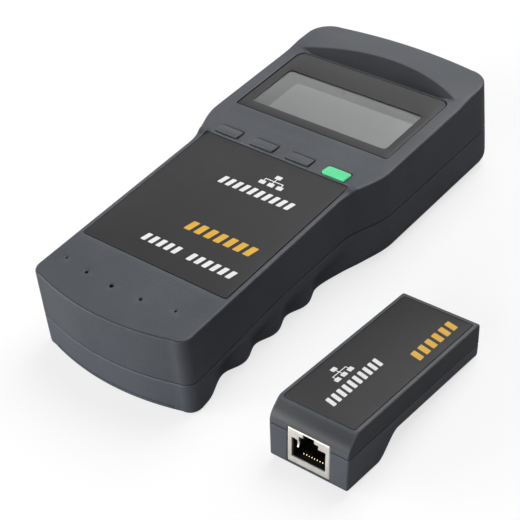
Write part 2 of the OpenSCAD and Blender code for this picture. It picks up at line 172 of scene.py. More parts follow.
def cut(o, cutters, op="DIFFERENCE"):
    for c in cutters:
        md = o.modifiers.new("cut", "BOOLEAN")
        md.operation = op
        md.solver = "EXACT"
        md.object = c
        bpy.context.view_layer.update()
        dg = bpy.context.evaluated_depsgraph_get()
        me = bpy.data.meshes.new_from_object(o.evaluated_get(dg))
        o.modifiers.clear()
        old = o.data
        o.data = me
        me.name = o.name
        bpy.data.meshes.remove(old)
    for c in cutters:
        d = c.data
        bpy.data.objects.remove(c)
        bpy.data.meshes.remove(d)
    bm = bmesh.new()
    bm.from_mesh(o.data)
    bmesh.ops.remove_doubles(bm, verts=bm.verts, dist=1e-7)
    bmesh.ops.dissolve_degenerate(bm, edges=bm.edges, dist=1e-7)
    bm.to_mesh(o.data)
    bm.free()
    return o


def sm(t):
    t = np.clip(t, 0, 1)
    return t * t * (3 - 2 * t)


def rrect(cx, cy, hx, hy, r, d=0.0, n=6):
    """Rounded rectangle loop, counter-clockwise from the lower right corner; r is one radius or four (lower right, upper right, upper left, lower left)."""
    r = [r] * 4 if np.isscalar(r) else list(r)
    out = []
    for k, (sx, sy) in enumerate(((1, -1), (1, 1), (-1, 1), (-1, -1))):
        rk = max(r[k], 0.02)
        a0 = -90 + 90 * k
        for i in range(n + 1):
            a = math.radians(a0 + 90 * i / n)
            out.append((cx + sx * (hx - rk) + (rk + d) * math.cos(a), cy + sy * (hy - rk) + (rk + d) * math.sin(a)))
    return out


def dense(loop, step):
    """The same closed loop with its long edges divided."""
    out = []
    n = len(loop)
    for i in range(n):
        a, b = loop[i], loop[(i + 1) % n]
        k = max(1, int(math.ceil(math.dist(a, b) / step - 1e-6)))
        out += [tuple(a[j] + (b[j] - a[j]) * t / k for j in range(len(a))) for t in range(k)]
    return out


def rrect_loops(cx, cy, hx, hy, r, ds, step=2.0, n=6):
    """The same rounded rectangle at several outward offsets, with matching points."""
    base = rrect(cx, cy, hx, hy, r, 0, n)
    cnt = []
    for i in range(len(base)):
        a, b = base[i], base[(i + 1) % len(base)]
        cnt.append(max(1, int(math.ceil(math.dist(a, b) / step - 1e-6))))
    res = []
    for d in ds:
        l = rrect(cx, cy, hx, hy, r, d, n)
        o = []
        for i in range(len(l)):
            a, b = l[i], l[(i + 1) % len(l)]
            o += [(a[0] + (b[0] - a[0]) * t / cnt[i], a[1] + (b[1] - a[1]) * t / cnt[i]) for t in range(cnt[i])]
        res.append(o)
    return res


def box_solid(name, x0, x1, y0, y1, z0, z1, bevel=0.0, place=None, seg=3):
    m = Mesh()
    c = [(x0, y0), (x1, y0), (x1, y1), (x0, y1)]
    i = m.pts([(a, b, z0) for a, b in c] + [(a, b, z1) for a, b in c])
    m.f += [(3, 2, 1, 0), (4, 5, 6, 7), (0, 1, 5, 4), (1, 2, 6, 5), (2, 3, 7, 6), (3, 0, 4, 7)]
    o = new(name, m, place)
    if bevel:
        bm = bmesh.new()
        bm.from_mesh(o.data)
        bmesh.ops.bevel(bm, geom=list(bm.edges), offset=bevel * MM, segments=seg, profile=0.5, affect="EDGES", clamp_overlap=True)
        bm.to_mesh(o.data)
        bm.free()
    return o


def cyl_solid(name, x, y, z0, z1, r, n=40, place=None, r1=None):
    m = Mesh()
    r1 = r if r1 is None else r1
    a = [2 * math.pi * i / n for i in range(n)]
    lo = [(x + r * math.cos(t), y + r * math.sin(t), z0) for t in a]
    hi = [(x + r1 * math.cos(t), y + r1 * math.sin(t), z1) for t in a]
    m.loft([lo, hi])
    m.f.append(tuple(m.pts(lo))[::-1])
    m.f.append(tuple(m.pts(hi)))
    return new(name, m, place)


# ---------------------------------------------------------------- the main unit's outline

HW, DW = 34.2, 40.0
YA, YB = -1.0, 178.0
FL0, FL1 = 86.0, 108.0
RC, RH = 5.0, 10.0


def half_w(y):
    return HW + (DW - HW) * sm((y - FL0) / (FL1 - FL0))


def side_points():
    p = [(x, YA + 0.005 * x * x) for x in np.linspace(0, HW - RC, 15)[:-1]]
    cy = YA + 0.005 * (HW - RC) ** 2 + RC
    # the end's arc meets the corner at its own slope
    p += [(HW - RC + RC * math.cos(math.radians(a)), cy + RC * math.sin(math.radians(a))) for a in np.linspace(-90, 0, 15)]
    ys = list(np.arange(math.ceil(cy) + 1, 85.1, 1.3)) + list(np.arange(86, 109, 1.0)) + list(np.arange(111, 165, 3.0))
    p += [(float(half_w(y)), float(y)) for y in ys]
    cy = YB - 0.0028 * (DW - RH) ** 2 - RH
    p += [(DW - RH + RH * math.cos(math.radians(a)), cy + RH * math.sin(math.radians(a))) for a in np.linspace(0, 90, 15)]
    p += [(x, YB - 0.0028 * x * x) for x in np.linspace(DW - RH, 0, 15)[1:]]
    return p


_r = side_points()
BASE = np.array(_r + [(-x, y) for x, y in _r[-2:0:-1]])
_t = np.roll(BASE, -1, 0) - np.roll(BASE, 1, 0)
_t /= np.hypot(_t[:, 0], _t[:, 1])[:, None]
NORM = np.stack([_t[:, 1], -_t[:, 0]], 1)          # outward


def ring(w):
    """The outline moved inwards by w (a number, or one per point)."""
    w = np.broadcast_to(np.asarray(w, float), (len(BASE),))
    return BASE - NORM * w[:, None]


def groove(y):
    y0, pitch, n = 23.5, 17.0, 3
    y1 = y0 + n * pitch
    full = 3.6
    y = np.asarray(y, float)
    mid = 2.35 + 1.25 * np.cos(2 * math.pi * (y - y0) / pitch)
    return np.where(y < y0, full * sm((y - 11) / (y0 - 11)), np.where(y > y1, full * sm((94 - y) / (94 - y1)), mid))


def z_part(y):
    return 12.8 + 3.6 * sm((np.asarray(y, float) + 1) / 60)


# front surface of the main unit
BEZ = (0, 133.85, 34.2, 20.05)
BEZ_R = (0.6, 3.2, 3.2, 0.6)
ARC_R, ARC_C = 68.0, 96.6
RIM_Y = 155.1


def bez_z(y):
    return 34.4 + 0.0115 * (y - 113.8)


def arc_y(x):
    return ARC_C + math.sqrt(max(ARC_R ** 2 - x * x, 0))


def z_front(x, y):
    x, y = float(x), float(y)
    ax = abs(x)
    hz = 31.7 + 0.0258 * y
    if y < 90.5:
        return hz
    key = 34.42
    # the strips beside the faceplate rise to a thin line under the head
    if y < 94.7:
        up = hz + (34.76 - hz) * float(sm((y - 90.5) / 3.7))
        return up if y <= 94.3 else 34.05 + (up - 34.05) * (94.5 - y) / 0.2 if y < 94.5 else 34.05 + (key - 34.05) * (y - 94.5) / 0.2
    rim = bez_z(y) + 0.28
    # flank beside the bezel, and the ramp below it
    flank = key + (rim - key) * float(sm((y - 97.5) / 15.0))
    ramp = key + (rim - key) * float(sm((y - 106.6) / 6.6)) ** 1.3
    z = ramp + (flank - ramp) * float(sm((ax - 33.75) / 0.7))
    if y < 113.6:
        return z
    # crown, and the sloped recess between it and the rim strip
    crown = rim + 0.80
    fall = 0.55 * max(0.0, (y - 164) / 14) ** 2
    land = rim + (crown - rim) * float(sm((y - 151.0) / 9.0))
    if y <= RIM_Y:
        return rim if ax < 34.3 or y < 151.0 else rim + (land - rim) * float(sm((ax - 34.3) / 1.2))
    if ax >= SC_X:
        return land - fall
    ya = arc_y(ax)
    k = float(sm((ax - 33.0) / 2.0))
    top = crown * (1 - k) + land * k
    if y >= ya + SC_E:
        return top - fall
    # rounded upper edge, then a slope that flattens towards the rim strip
    d = ya + SC_E - y
    return top - fall - scoop_drop(d, ya + SC_E - RIM_Y)


SC_X = 34.6                   # half width of the recess
SC_E = 0.9                    # width of its rounded upper edge
SC_S = 0.52                   # its steepest slope


def scoop_drop(d, full):
    """How far the recess lies below the crown, d back from the start of its upper edge."""
    n = 24
    t = 0.0
    for i in range(n):
        q = d * (i + 0.5) / n
        s = SC_S * min(1.0, q / SC_E) if q < SC_E else SC_S - 0.26 * (q - SC_E) / 9.5
        t += s * d / n
    return t


KEY_Y, KEY_P, KEY_W, KEY_L = 98.0, 16.2, 5.0, 2.15
GREEN_Y, GREEN_L = 97.86, 2.4
HOLES = [(-4.5, 12.6, 0.85), (8.2, 12.8, 0.65), (-16.4, 13.2, 0.65), (21.8, 14.6, 0.45), (-27.4, 14.9, 0.45)]


def circle(cx, cy, r, n=20):
    return [(cx + r * math.cos(2 * math.pi * i / n), cy + r * math.sin(2 * math.pi * i / n)) for i in range(n)]


def front_shell():
    m = Mesh()
    zb = z_part(BASE[:, 1])
    R = 0.8
    drft = 0.22
    loops = []

    def lvl(w, z):
        r = ring(w)
        return [(r[i, 0], r[i, 1], z[i]) for i in range(len(r))]

    def top(w, dz=0.0):
        r = ring(w)
        return [(a, b, z_front(a, b) + dz) for a, b in r]

    # inner skin, from its ceiling down to the parting line
    inner = [lvl(2.4, zb + 0.1 * 0), ]
    ceil = ring(3.0)
    ceil_loop = [(a, b, z_front(a, b) - 2.2) for a, b in ceil]
    # lip at the parting line, wall, rounded top edge
    loops.append(ceil_loop)
    loops.append(lvl(2.4, zb + 1.5))
    loops.append(lvl(2.3, zb + 0.14))
    loops.append(lvl(0.60, zb + 0.14))
    loops.append(lvl(0.24, zb + 0.22))
    loops.append(lvl(0.05, zb + 0.46))
    loops.append(lvl(0.03, zb + 1.0))
    tz = np.array([p[2] for p in top(drft)])
    for k in (0.25, 0.5, 0.75):
        w = 0.03 + (drft - 0.03) * k
        loops.append(lvl(w, zb + 1.0 + (tz - R - zb - 1.0) * k))
    for a in (0, 15, 30, 45, 60, 75):
        a = math.radians(a)
        w = drft + R * (1 - math.cos(a))
        r = ring(w)
        loops.append([(p[0], p[1], z_front(p[0], p[1]) - R * (1 - math.sin(a))) for p in r])
    edge = ring(drft + R)
    loops.append([(a, b, z_front(a, b)) for a, b in edge])
    m.loft(loops)
    outer = [tuple(p) for p in edge]

    holes_top = []

    def sink(ds, zs, cx, cy, hx, hy, r, step=2.0, base=z_front, n=6):
        """Walls of a recess: offsets and depths below the surface; gives the top and the bottom loops."""
        ls = rrect_loops(cx, cy, hx, hy, r, ds, step, n)
        rows = [[(p[0], p[1], base(p[0], p[1]) + z if np.isscalar(z) else z(p[0], p[1])) for p in l] for l, z in zip(ls, zs)]
        m.loft(rows)
        return ls[0], rows[-1]

    # faceplate recess
    lab = ((0, 60.95, 32.15, 33.45))
    low = lambda x, y: 31.7 + 0.0258 * y - 0.62
    t, b = sink([0.30, 0.22, 0.08, 0.0, 0.0], [0.0, -0.03, -0.12, -0.26, low], *lab, 1.0, 2.0)
    holes_top.append(t)
    m.fan([(p[0], p[1], p[2]) for p in b])
    # bezel recess
    t, b = sink([0.44, 0.32, 0.22, 0.18, 0.18], [0.0, -0.04, -0.13, -0.28, lambda x, y: 33.35], BEZ[0], BEZ[1], BEZ[2], BEZ[3], BEZ_R, 2.0)
    holes_top.append(t)
    win = rrect_loops(0, 130.25, 32.1, 13.85, 1.0, [0.0], 3.0)[0]
    m.field([(p[0], p[1]) for p in b], [win], lambda x, y: 33.35)
    # key openings, sound holes and the ceiling they come out of
    ceil_holes = [win]
    m.loft([[(x, y, 33.35) for x, y in win], [(x, y, z_front(x, y) - 2.2) for x, y in win]])
    for i in (-1.5, -0.5, 0.5, 1.5):
        rr = 0.6 if i < 1.5 else (0.7, 1.2, 1.2, 0.7)
        cy, hl = (GREEN_Y, GREEN_L) if i == 1.5 else (KEY_Y, KEY_L)
        ls = rrect_loops(i * KEY_P + 0.08, cy - 0.12, KEY_W + 0.27, hl + 0.29, rr, [0.16, 0.10, 0.03, 0.0, 0.0], 1.6, 5)
        zs = [0, -0.02, -0.08, -0.16, -2.2]
        m.loft([[(p[0], p[1], z_front(p[0], p[1]) + z) for p in l] for l, z in zip(ls, zs)])
        holes_top.append(ls[0])
        ceil_holes.append(ls[-1])
    for cx, cy, r in HOLES:
        ls = [circle(cx, cy, r + d, 20) for d in (0.22, 0.12, 0.03, 0.0, 0.0)]
        zs = [0, -0.05, -0.14, -0.25, -2.2]
        m.loft([[(p[0], p[1], z_front(p[0], p[1]) + z) for p in l] for l, z in zip(ls, zs)])
        holes_top.append(ls[0])
        ceil_holes.append(ls[-1])
    # top surface
    extra = [(x, y) for y in np.arange(2, 27, 2.5) for x in np.arange(-31, 31.1, 3.1)]
    extra += [(x, y) for y in np.arange(95.4, 113.4, 0.9) for x in np.arange(-37, 37.1, 1.6)]
    extra += [(s * x, y) for s in (-1, 1) for y in np.arange(96, 112.9, 0.7) for x in (33.3, 33.75, 34.1, 34.45, 35.0, 35.8)]
    extra += [(s * x, y) for s in (-1, 1) for y in np.arange(114.6, 154, 2.4) for x in (35.7,)]
    extra += [(s * x, y) for s in (-1, 1) for y in np.arange(150, 168, 1.0) for x in (35.2, 36.1)]
    extra += [(x, y) for y in (166.5, 168.5, 170.5, 172.5, 174.0) for x in np.arange(-30, 30.1, 2.5)]
    lines = []
    for f in (0.28, 0.42, 0.54, 0.64, 0.73, 0.81, 0.88, 0.94, 1.0):
        lines.append([(x, RIM_Y + (arc_y(x) - RIM_Y) * f) for x in np.linspace(-34.2, 34.2, 58) if (arc_y(x) - RIM_Y) * f > 0.3])
    for d in (0.25, 0.5, 0.8, 1.4):
        lines.append([(x, arc_y(x) + d) for x in np.linspace(-33.6, 33.6, 58)])
    for d in (0.0, 0.3, 1.3):
        lines.append([(x, RIM_Y + d) for x in np.linspace(-34, 34, 41) if arc_y(x) - RIM_Y > d + 0.4])
    lines += [[(s * x, y) for x in (32.75, 33.4, 34.1, 34.8)] for s in (-1, 1) for y in (91.4, 92.3, 93.2, 94.3, 94.5, 94.7)]
    m.field(outer, holes_top, z_front, extra, [l for l in lines if len(l) > 1])
    # ceiling
    m.field([(a, b) for a, b in ceil], ceil_holes, lambda x, y: z_front(x, y) - 2.2,
            [(x, y) for y in np.arange(4, 172, 6.0) for x in np.arange(-30, 30.1, 6.0)], flip=True)
    o = new("housing_front", m)
    return o


housing_front = front_shell()
smooth(housing_front, 30)
print("front", len(housing_front.data.polygons))


# ---------------------------------------------------------------- back shell and battery door


def back_rows():
    zb = z_part(BASE[:, 1])
    # the lower edge is tight at the handle end and fuller round the head
    RB = 1.0 + 2.4 * sm((BASE[:, 1] - 2) / 16) + 2.2 * sm((BASE[:, 1] - 86) / 22)
    g = np.where(np.abs(NORM[:, 0]) > 0.6, groove(BASE[:, 1]), 0.0)
    g = np.where(BASE[:, 1] > 94, 0.0, g)

    def row(w, z):
        z = np.broadcast_to(np.asarray(z, float), (len(BASE),))
        f = sm((13.6 - z) / 8.5)
        r = ring(np.asarray(w) + g * f)
        return [(r[i, 0], r[i, 1], z[i]) for i in range(len(r))]

    rows = [row(0.50, zb - 0.14), row(0.18, zb - 0.23), row(0.03, zb - 0.50), row(0.0, zb - 1.0)]
    for k in np.linspace(0, 1, 15)[1:]:
        rows.append(row(0.0, (zb - 1.0) * (1 - k) + RB * k))
    for a in np.linspace(0, 90, 9)[1:]:
        a = math.radians(a)
        rows.append(row(RB * (1 - math.cos(a)), RB * (1 - math.sin(a))))
    return rows, zb


def back_shell():
    rows, zb = back_rows()
    m = Mesh()
    rim = ring(2.3)
    inner = [[(rim[i, 0], rim[i, 1], zb[i] - 0.14) for i in range(len(rim))]]
    g = np.where((np.abs(NORM[:, 0]) > 0.6) & (BASE[:, 1] < 94), groove(BASE[:, 1]), 0.0)
    for z, w in ((13.4, 2.3), (9.0, 2.3), (5.2, 2.3), (2.7, 4.4)):
        f = float(sm((13.6 - z) / 8.5))
        r = ring(w + g * f * 0.9)
        inner.append([(a, b, z) for a, b in r])
    m.loft(inner[::-1] + rows)
    m.field([(p[0], p[1]) for p in rows[-1]], [], lambda x, y: 0.0, [(x, y) for y in np.arange(5, 174, 9.0) for x in np.arange(-27, 27.1, 9.0)], flip=True)
    m.field([(p[0], p[1]) for p in inner[-1]], [], lambda x, y: 2.7)
    o = new("housing_back", m)
    add = [box_solid("c", -23.2, 23.2, 18.9, 74.2, 2.45, 14.3), box_solid("c", -27.2, 27.2, 6, 77.2, 0.6, 3.4)]
    add += [cyl_solid("c", x, y, 2.6, 16.2, 3.6, 40) for x, y in ((28.3, 84), (-28.3, 84), (34.6, 157.5), (-34.6, 157.5))]
    cut(o, add, "UNION")
    sub = [box_solid("c", -21.6, 21.6, 20.5, 72.8, 1, 13.3),
           box_solid("c", -25.0, 25.0, -10, 75.9, -1, 2.1), box_solid("c", -26.5, 26.5, -10, 75.9, 0.6, 2.1)]
    for x, y in ((28.3, 84), (-28.3, 84), (34.6, 157.5), (-34.6, 157.5)):
        sub += [cyl_solid("c", x, y, -1, 19, 1.7, 40), cyl_solid("c", x, y, -1, 7, 3.0, 40), cyl_solid("c", x, y, -0.2, 0.35, 3.5, 40, r1=2.95)]
    for s in (-1, 1):
        sub.append(box_solid("c", s * 14 - 8.1, s * 14 + 8.1, 165, 185, 11.0, 30))
        sub.append(box_solid("c", s * 15.9 - 1.8, s * 15.9 + 1.8, 20.45, 21.1, 12.3, 15.5))
    cut(o, sub)
    return o


def door():
    rows, zb = back_rows()
    m = Mesh()
    m.loft(rows)
    m.field([(p[0], p[1]) for p in rows[-1]], [], lambda x, y: 0.0, flip=True)
    m.field([(p[0], p[1]) for p in rows[0]], [], lambda x, y: float(z_part(y)) - 0.14)
    o = new("battery_cover", m)
    body = box_solid("c", -24.7, 24.7, -5, 75.6, -0.5, 1.8)
    cut(body, [box_solid("c", -26.2, 26.2, -5, 74.6, 0.9, 1.8)], "UNION")
    cut(o, [body], "INTERSECT")
    ribs = []
    for y in np.arange(14, 35, 3.0):
        c = box_solid("c", -11, 11, y - 0.7, y + 0.7, -0.7, 0.45, bevel=0.4)
        ribs.append(c)
    cut(o, ribs)
    return o


housing_back = smooth(back_shell(), 30)
battery_cover = smooth(door(), 30)
cut(housing_front, [box_solid("c", s * 14 - 8.1, s * 14 + 8.1, 165, 185, 10, 24.5) for s in (-1, 1)])
smooth(housing_front, 30)
print("back", len(housing_back.data.polygons), "door", len(battery_cover.data.polygons))


# ---------------------------------------------------------------- faceplate, bezel, window, keys

def plate(name, cx, cy, hx, hy, r, zf, t, b, step=3.0, n=6, holes=(), zbot=None, place=None, under=0.0):
    """A plate that follows zf on top, with a rounded edge b and thickness t; holes are (cx, cy, hx, hy, r, edge)."""
    zb = zbot or (lambda x, y: zf(x, y) - t)
    m = Mesh()
    angs = [0, 22.5, 45, 67.5, 90]
    ds = [-b] + [-b + b * math.sin(math.radians(a)) for a in angs[1:]] + [0.0, -b * 0.4]
    ls = rrect_loops(cx, cy, hx, hy, r, ds, step, n)
    rows = []
    for l, a in zip(ls[:5], angs):
        rows.append([(x, y, zf(x, y) - b * (1 - math.cos(math.radians(a)))) for x, y in l])
    rows.append([(x, y, zb(x, y) + b * 0.4) for x, y in ls[5]])
    rows.append([(x, y, zb(x, y)) for x, y in ls[6]])
    m.loft(rows)
    tops, bots = [], []
    for hcx, hcy, hhx, hhy, hr, hb in holes:
        hd = [hb] + [hb - hb * math.sin(math.radians(a)) for a in angs[1:]] + [0.0, under]
        hl = rrect_loops(hcx, hcy, hhx, hhy, hr, hd, step, n)
        hrows = [[(x, y, zf(x, y) - hb * (1 - math.cos(math.radians(a)))) for x, y in l] for l, a in zip(hl[:5], angs)]
        hrows.append([(x, y, zf(x, y) - hb - 0.12) for x, y in hl[5]])
        hrows.append([(x, y, zb(x, y)) for x, y in hl[6]])
        m.loft(hrows)
        tops.append(hl[0])
        bots.append(hl[6])
    m.field(ls[0], tops, zf)
    m.field(ls[6], bots, zb, flip=True)
    return smooth(new(name, m, place), 30)


LAB_Z = lambda x, y: 31.7 + 0.0258 * y - 0.04
faceplate = plate("faceplate", 0, 60.95, 31.85, 33.15, 0.85, LAB_Z, 0.5, 0.14)
bezel = plate("bezel", BEZ[0], BEZ[1], BEZ[2] - 0.14, BEZ[3] - 0.14, BEZ_R, lambda x, y: bez_z(y), 1.0, 0.34, holes=[(0, 130.2, 30.3, 11.9, 1.5, 0.15)],
              zbot=lambda x, y: 33.37, under=1.5)
window = plate("window", 0, 130.2, 30.45, 12.05, 1.5, lambda x, y: bez_z(y) - 0.33, 0.2, 0.04)


def key_cap(name, i, radii):
    x0 = i * KEY_P
    cy, hl = (GREEN_Y, GREEN_L) if i == 1.5 else (KEY_Y, KEY_L)
    zt = lambda x, y: 34.98 - 0.12 * (y - KEY_Y) - 0.012 * (x - x0) ** 2 / 4 - 0.02 * (y - KEY_Y) ** 2
    b = 0.3
    m = Mesh()
    angs = [0, 18, 36, 54, 72, 90]
    ds = [-b + b * math.sin(math.radians(a)) for a in angs] + [0.0, 0.0]
    ls = rrect_loops(x0, cy, KEY_W, hl, radii, ds, 1.2, 6)
    rows = [[(x, y, zt(x, y) - b * (1 - math.cos(math.radians(a)))) for x, y in l] for l, a in zip(ls[:6], angs)]
    rows.append([(x, y, 32.0) for x, y in ls[7]])
    fl = rrect_loops(x0, cy, KEY_W, hl, radii, [0.8, 0.8], 1.2, 6)
    rows.append([(x, y, 32.0) for x, y in fl[0]])
    rows.append([(x, y, 31.1) for x, y in fl[1]])
    m.loft(rows)
    m.field(ls[0], [], zt, [(x0 + a, KEY_Y + c) for a in np.arange(-4, 4.1, 1) for c in (-1.2, -0.6, 0, 0.6, 1.2)])
    m.field(fl[1], [], lambda x, y: 31.1, flip=True)
    o = new(name, m)
    cut(o, [cyl_solid("c", x0, KEY_Y, 29.0, 31.5, 1.3, 32)], "UNION")
    return smooth(o, 30)


caps = {}
for k, i, r in (("power", -1.5, (0.45, 0.6, 0.6, 0.45)), ("up", -0.5, (0.45, 0.6, 0.6, 0.45)), ("down", 0.5, (0.45, 0.6, 0.6, 0.45)), ("enter", 1.5, (0.6, 1.1, 1.1, 0.6))):
    caps[k] = key_cap("cap_" + k, i, r)
print("caps done")


# ---------------------------------------------------------------- display cell: two darker glass plates and a lighter film on top, set towards the lower right, so that the darker glass shows as a band along the top and left edges of the window

lcd_cell = plate("lcd_cell", 0, 130.25, 31.6, 13.5, 0.3, lambda x, y: bez_z(y) - 1.2, 1.1, 0.08)
_up = plate("lcd_upper", 0, 130.2, 30.86, 12.46, 1.5, lambda x, y: bez_z(y) - 0.62, 0.54, 0.04)
bm = bmesh.new()
bm.from_mesh(lcd_cell.data)
bm.from_mesh(_up.data)
bm.to_mesh(lcd_cell.data)
bm.free()
bpy.data.objects.remove(_up)
lcd_film = plate("lcd_film", 3.86, 127.22, 26.84, 9.27, (0.3, 0.3, 1.6, 0.3), lambda x, y: bez_z(y) - 0.56, 0.04, 0.012)


# ---------------------------------------------------------------- remote unit, built in its own frame

R_W, R_L, R_H, R_PART, R_B, R_STEP = 15.05, 73.8, 20.6, 12.7, 17.9, 7.8
R_PITCH = math.atan(R_STEP / (R_L - R_B))
R_MAT = (Matrix.Translation(Vector((80.5, 3.5 - YO, 0)) * MM) @ Matrix.Rotation(math.radians(0.9), 4, "Z")
         @ Matrix.Translation(Vector((0, R_B * math.cos(R_PITCH), 0)) * MM) @ Matrix.Rotation(-R_PITCH, 4, "X") @ Matrix.Translation(Vector((0, -R_B, 0)) * MM))


def local(x, y, z):
    return (x, y, z)


def r_profile():
    """Side outline of the remote unit: (y, z), counter-clockwise seen from +X, with corners rounded."""
    def arc(cy, cz, r, a0, a1, n=5):
        return [(cy + r * math.cos(math.radians(a)), cz + r * math.sin(math.radians(a))) for a in np.linspace(a0, a1, n)]
    p = arc(1.0, 1.0, 1.0, 180, 270, 5)
    p += [(y, 0.0) for y in np.linspace(3, R_B - 1.2, 8)]
    p += [(R_B - 1.2 + 10.2 * t, R_STEP * float(sm(t))) for t in np.linspace(0, 1, 20)[1:]]
    p += [(y, R_STEP) for y in np.linspace(30, R_L - 2.5, 15)]
    p += arc(R_L - 1.0, R_STEP + 1.0, 1.0, -90, 0, 5)
    p += [(R_L, z) for z in (10.4, 12.0, 13.6, 15.2, 16.8, 18.2)]
    p += arc(R_L - 1.0, R_H - 1.0, 1.0, 0, 90, 6)
    p += [(y, R_H) for y in np.linspace(R_L - 3, 7.6, 22)]
    # rounded shoulder, then the slope down to the front wall
    b = [Vector((6.6, R_H)), Vector((5.2, R_H)), Vector((4.6, 20.15)), Vector((3.9, 19.5))]
    c = [Vector((3.9, 19.5)), Vector((2.0, 17.75)), Vector((0.0, 16.0)), Vector((0.0, 13.2))]
    for q, n in ((b, 6), (c, 12)):
        for t in np.linspace(0, 1, n)[:-1]:
            v = q[0] * (1 - t) ** 3 + q[1] * 3 * t * (1 - t) ** 2 + q[2] * 3 * t * t * (1 - t) + q[3] * t ** 3
            p.append((v[0], v[1]))
    p += [(0.0, z) for z in (13.2, 11.4, 9.6, 7.8, 6.0, 4.2, 2.6)]
    return np.array(p)


def inset(P, d):
    """A closed counter-clockwise outline moved inwards by d along its normals."""
    t = np.roll(P, -1, 0) - np.roll(P, 1, 0)
    t /= np.maximum(np.hypot(t[:, 0], t[:, 1]), 1e-9)[:, None]
    n = np.stack([t[:, 1], -t[:, 0]], 1)
    return P - n * d


def prism(name, P, hx, r, extra_rows=(0.0,), draft=0.0, low=0.0):
    """A side outline drawn out across x, with all its edges rounded by r; draft leans the sides in above the parting line, low below it."""
    m = Mesh()
    rows = []
    angs = np.linspace(0, 90, 7)

    def lean(z):
        return draft * (z - R_PART) if z > R_PART else low * (R_PART - z)

    def at(x, Q):
        s = 1.0 if x > 0 else -1.0
        return [(x - s * lean(q[1]) * (1 if abs(x) > hx * 0.5 else 0), q[0], q[1]) for q in Q]
    for a in angs:                       # from the side face to the full outline
        t = math.radians(a)
        rows.append(at(-hx + r * (1 - math.cos(t)), inset(P, r * (1 - math.sin(t)))))
    for x in extra_rows:
        rows.append(at(x, P))
    for a in angs[::-1]:
        t = math.radians(a)
        rows.append(at(hx - r * (1 - math.cos(t)), inset(P, r * (1 - math.sin(t)))))
    m.loft(rows)
    for row, fl in ((rows[0], False), (rows[-1], True)):
        Q = [(q[1], q[2]) for q in row]
        Pn, T = region(Q, [], [(y, z) for y in np.arange(3, 73, 5.0) for z in (3, 6, 9, 10.6, 12.7, 14.8, 17, 19)])
        xs = -1.0 if not fl else 1.0
        ids = m.pts([(xs * (hx - lean(z)), y, z) for y, z in Pn])
        for tr in T:
            m.f.append(tuple(ids[i] for i in tr))
    return new(name, m, local)


def bevel_plane(o, z, off, seg=2, lo=0.0):
    """Rounds the outer edges of the face that lies at height z."""
    bm = bmesh.new()
    bm.from_mesh(o.data)
    es = [e for e in bm.edges if all(abs(v.co.z / MM - z) < 1e-3 for v in e.verts) and len(e.link_faces) == 2
          and sum(abs(f.normal.z) > 0.9 for f in e.link_faces) == 1]
    bmesh.ops.bevel(bm, geom=es, offset=off * MM, segments=seg, profile=0.6, affect="EDGES", clamp_overlap=True)
    bm.to_mesh(o.data)
    bm.free()


def prism_cut(name, poly, y0, y1, place, flare=0.0, y_face=0.0):
    """Cutter with an (x, z) outline, from y0 to y1, wider by flare where it meets the face at y_face."""
    P = np.array(poly, float)
    a, b = P - np.roll(P, 1, 0), np.roll(P, -1, 0) - P
    a /= np.hypot(a[:, 0], a[:, 1])[:, None]
    b /= np.hypot(b[:, 0], b[:, 1])[:, None]
    n = np.stack([a[:, 1], -a[:, 0]], 1) + np.stack([b[:, 1], -b[:, 0]], 1)
    k = 1 + (a * b).sum(1)
    n = n / k[:, None]
    rows = []
    st = [(y0, flare), (y_face + 0.02, flare), (y_face + flare * 0.3, flare * 0.3), (y_face + flare, 0.0), (y1, 0.0)] if flare else [(y0, 0), (y1, 0)]
    m = Mesh()
    for y, d in st:
        Q = P + n * d
        rows.append([(q[0], y, q[1]) for q in Q])
    m.loft(rows)
    for row in (rows[0], rows[-1]):
        _, T = region([(q[0], q[2]) for q in row], [])
        V, T = region([(q[0], q[2]) for q in row], [])
        ids = m.pts([(v[0], row[0][1], v[1]) for v in V])
        m.f += [tuple(ids[i] for i in t) for t in T]
    return new(name, m, place)


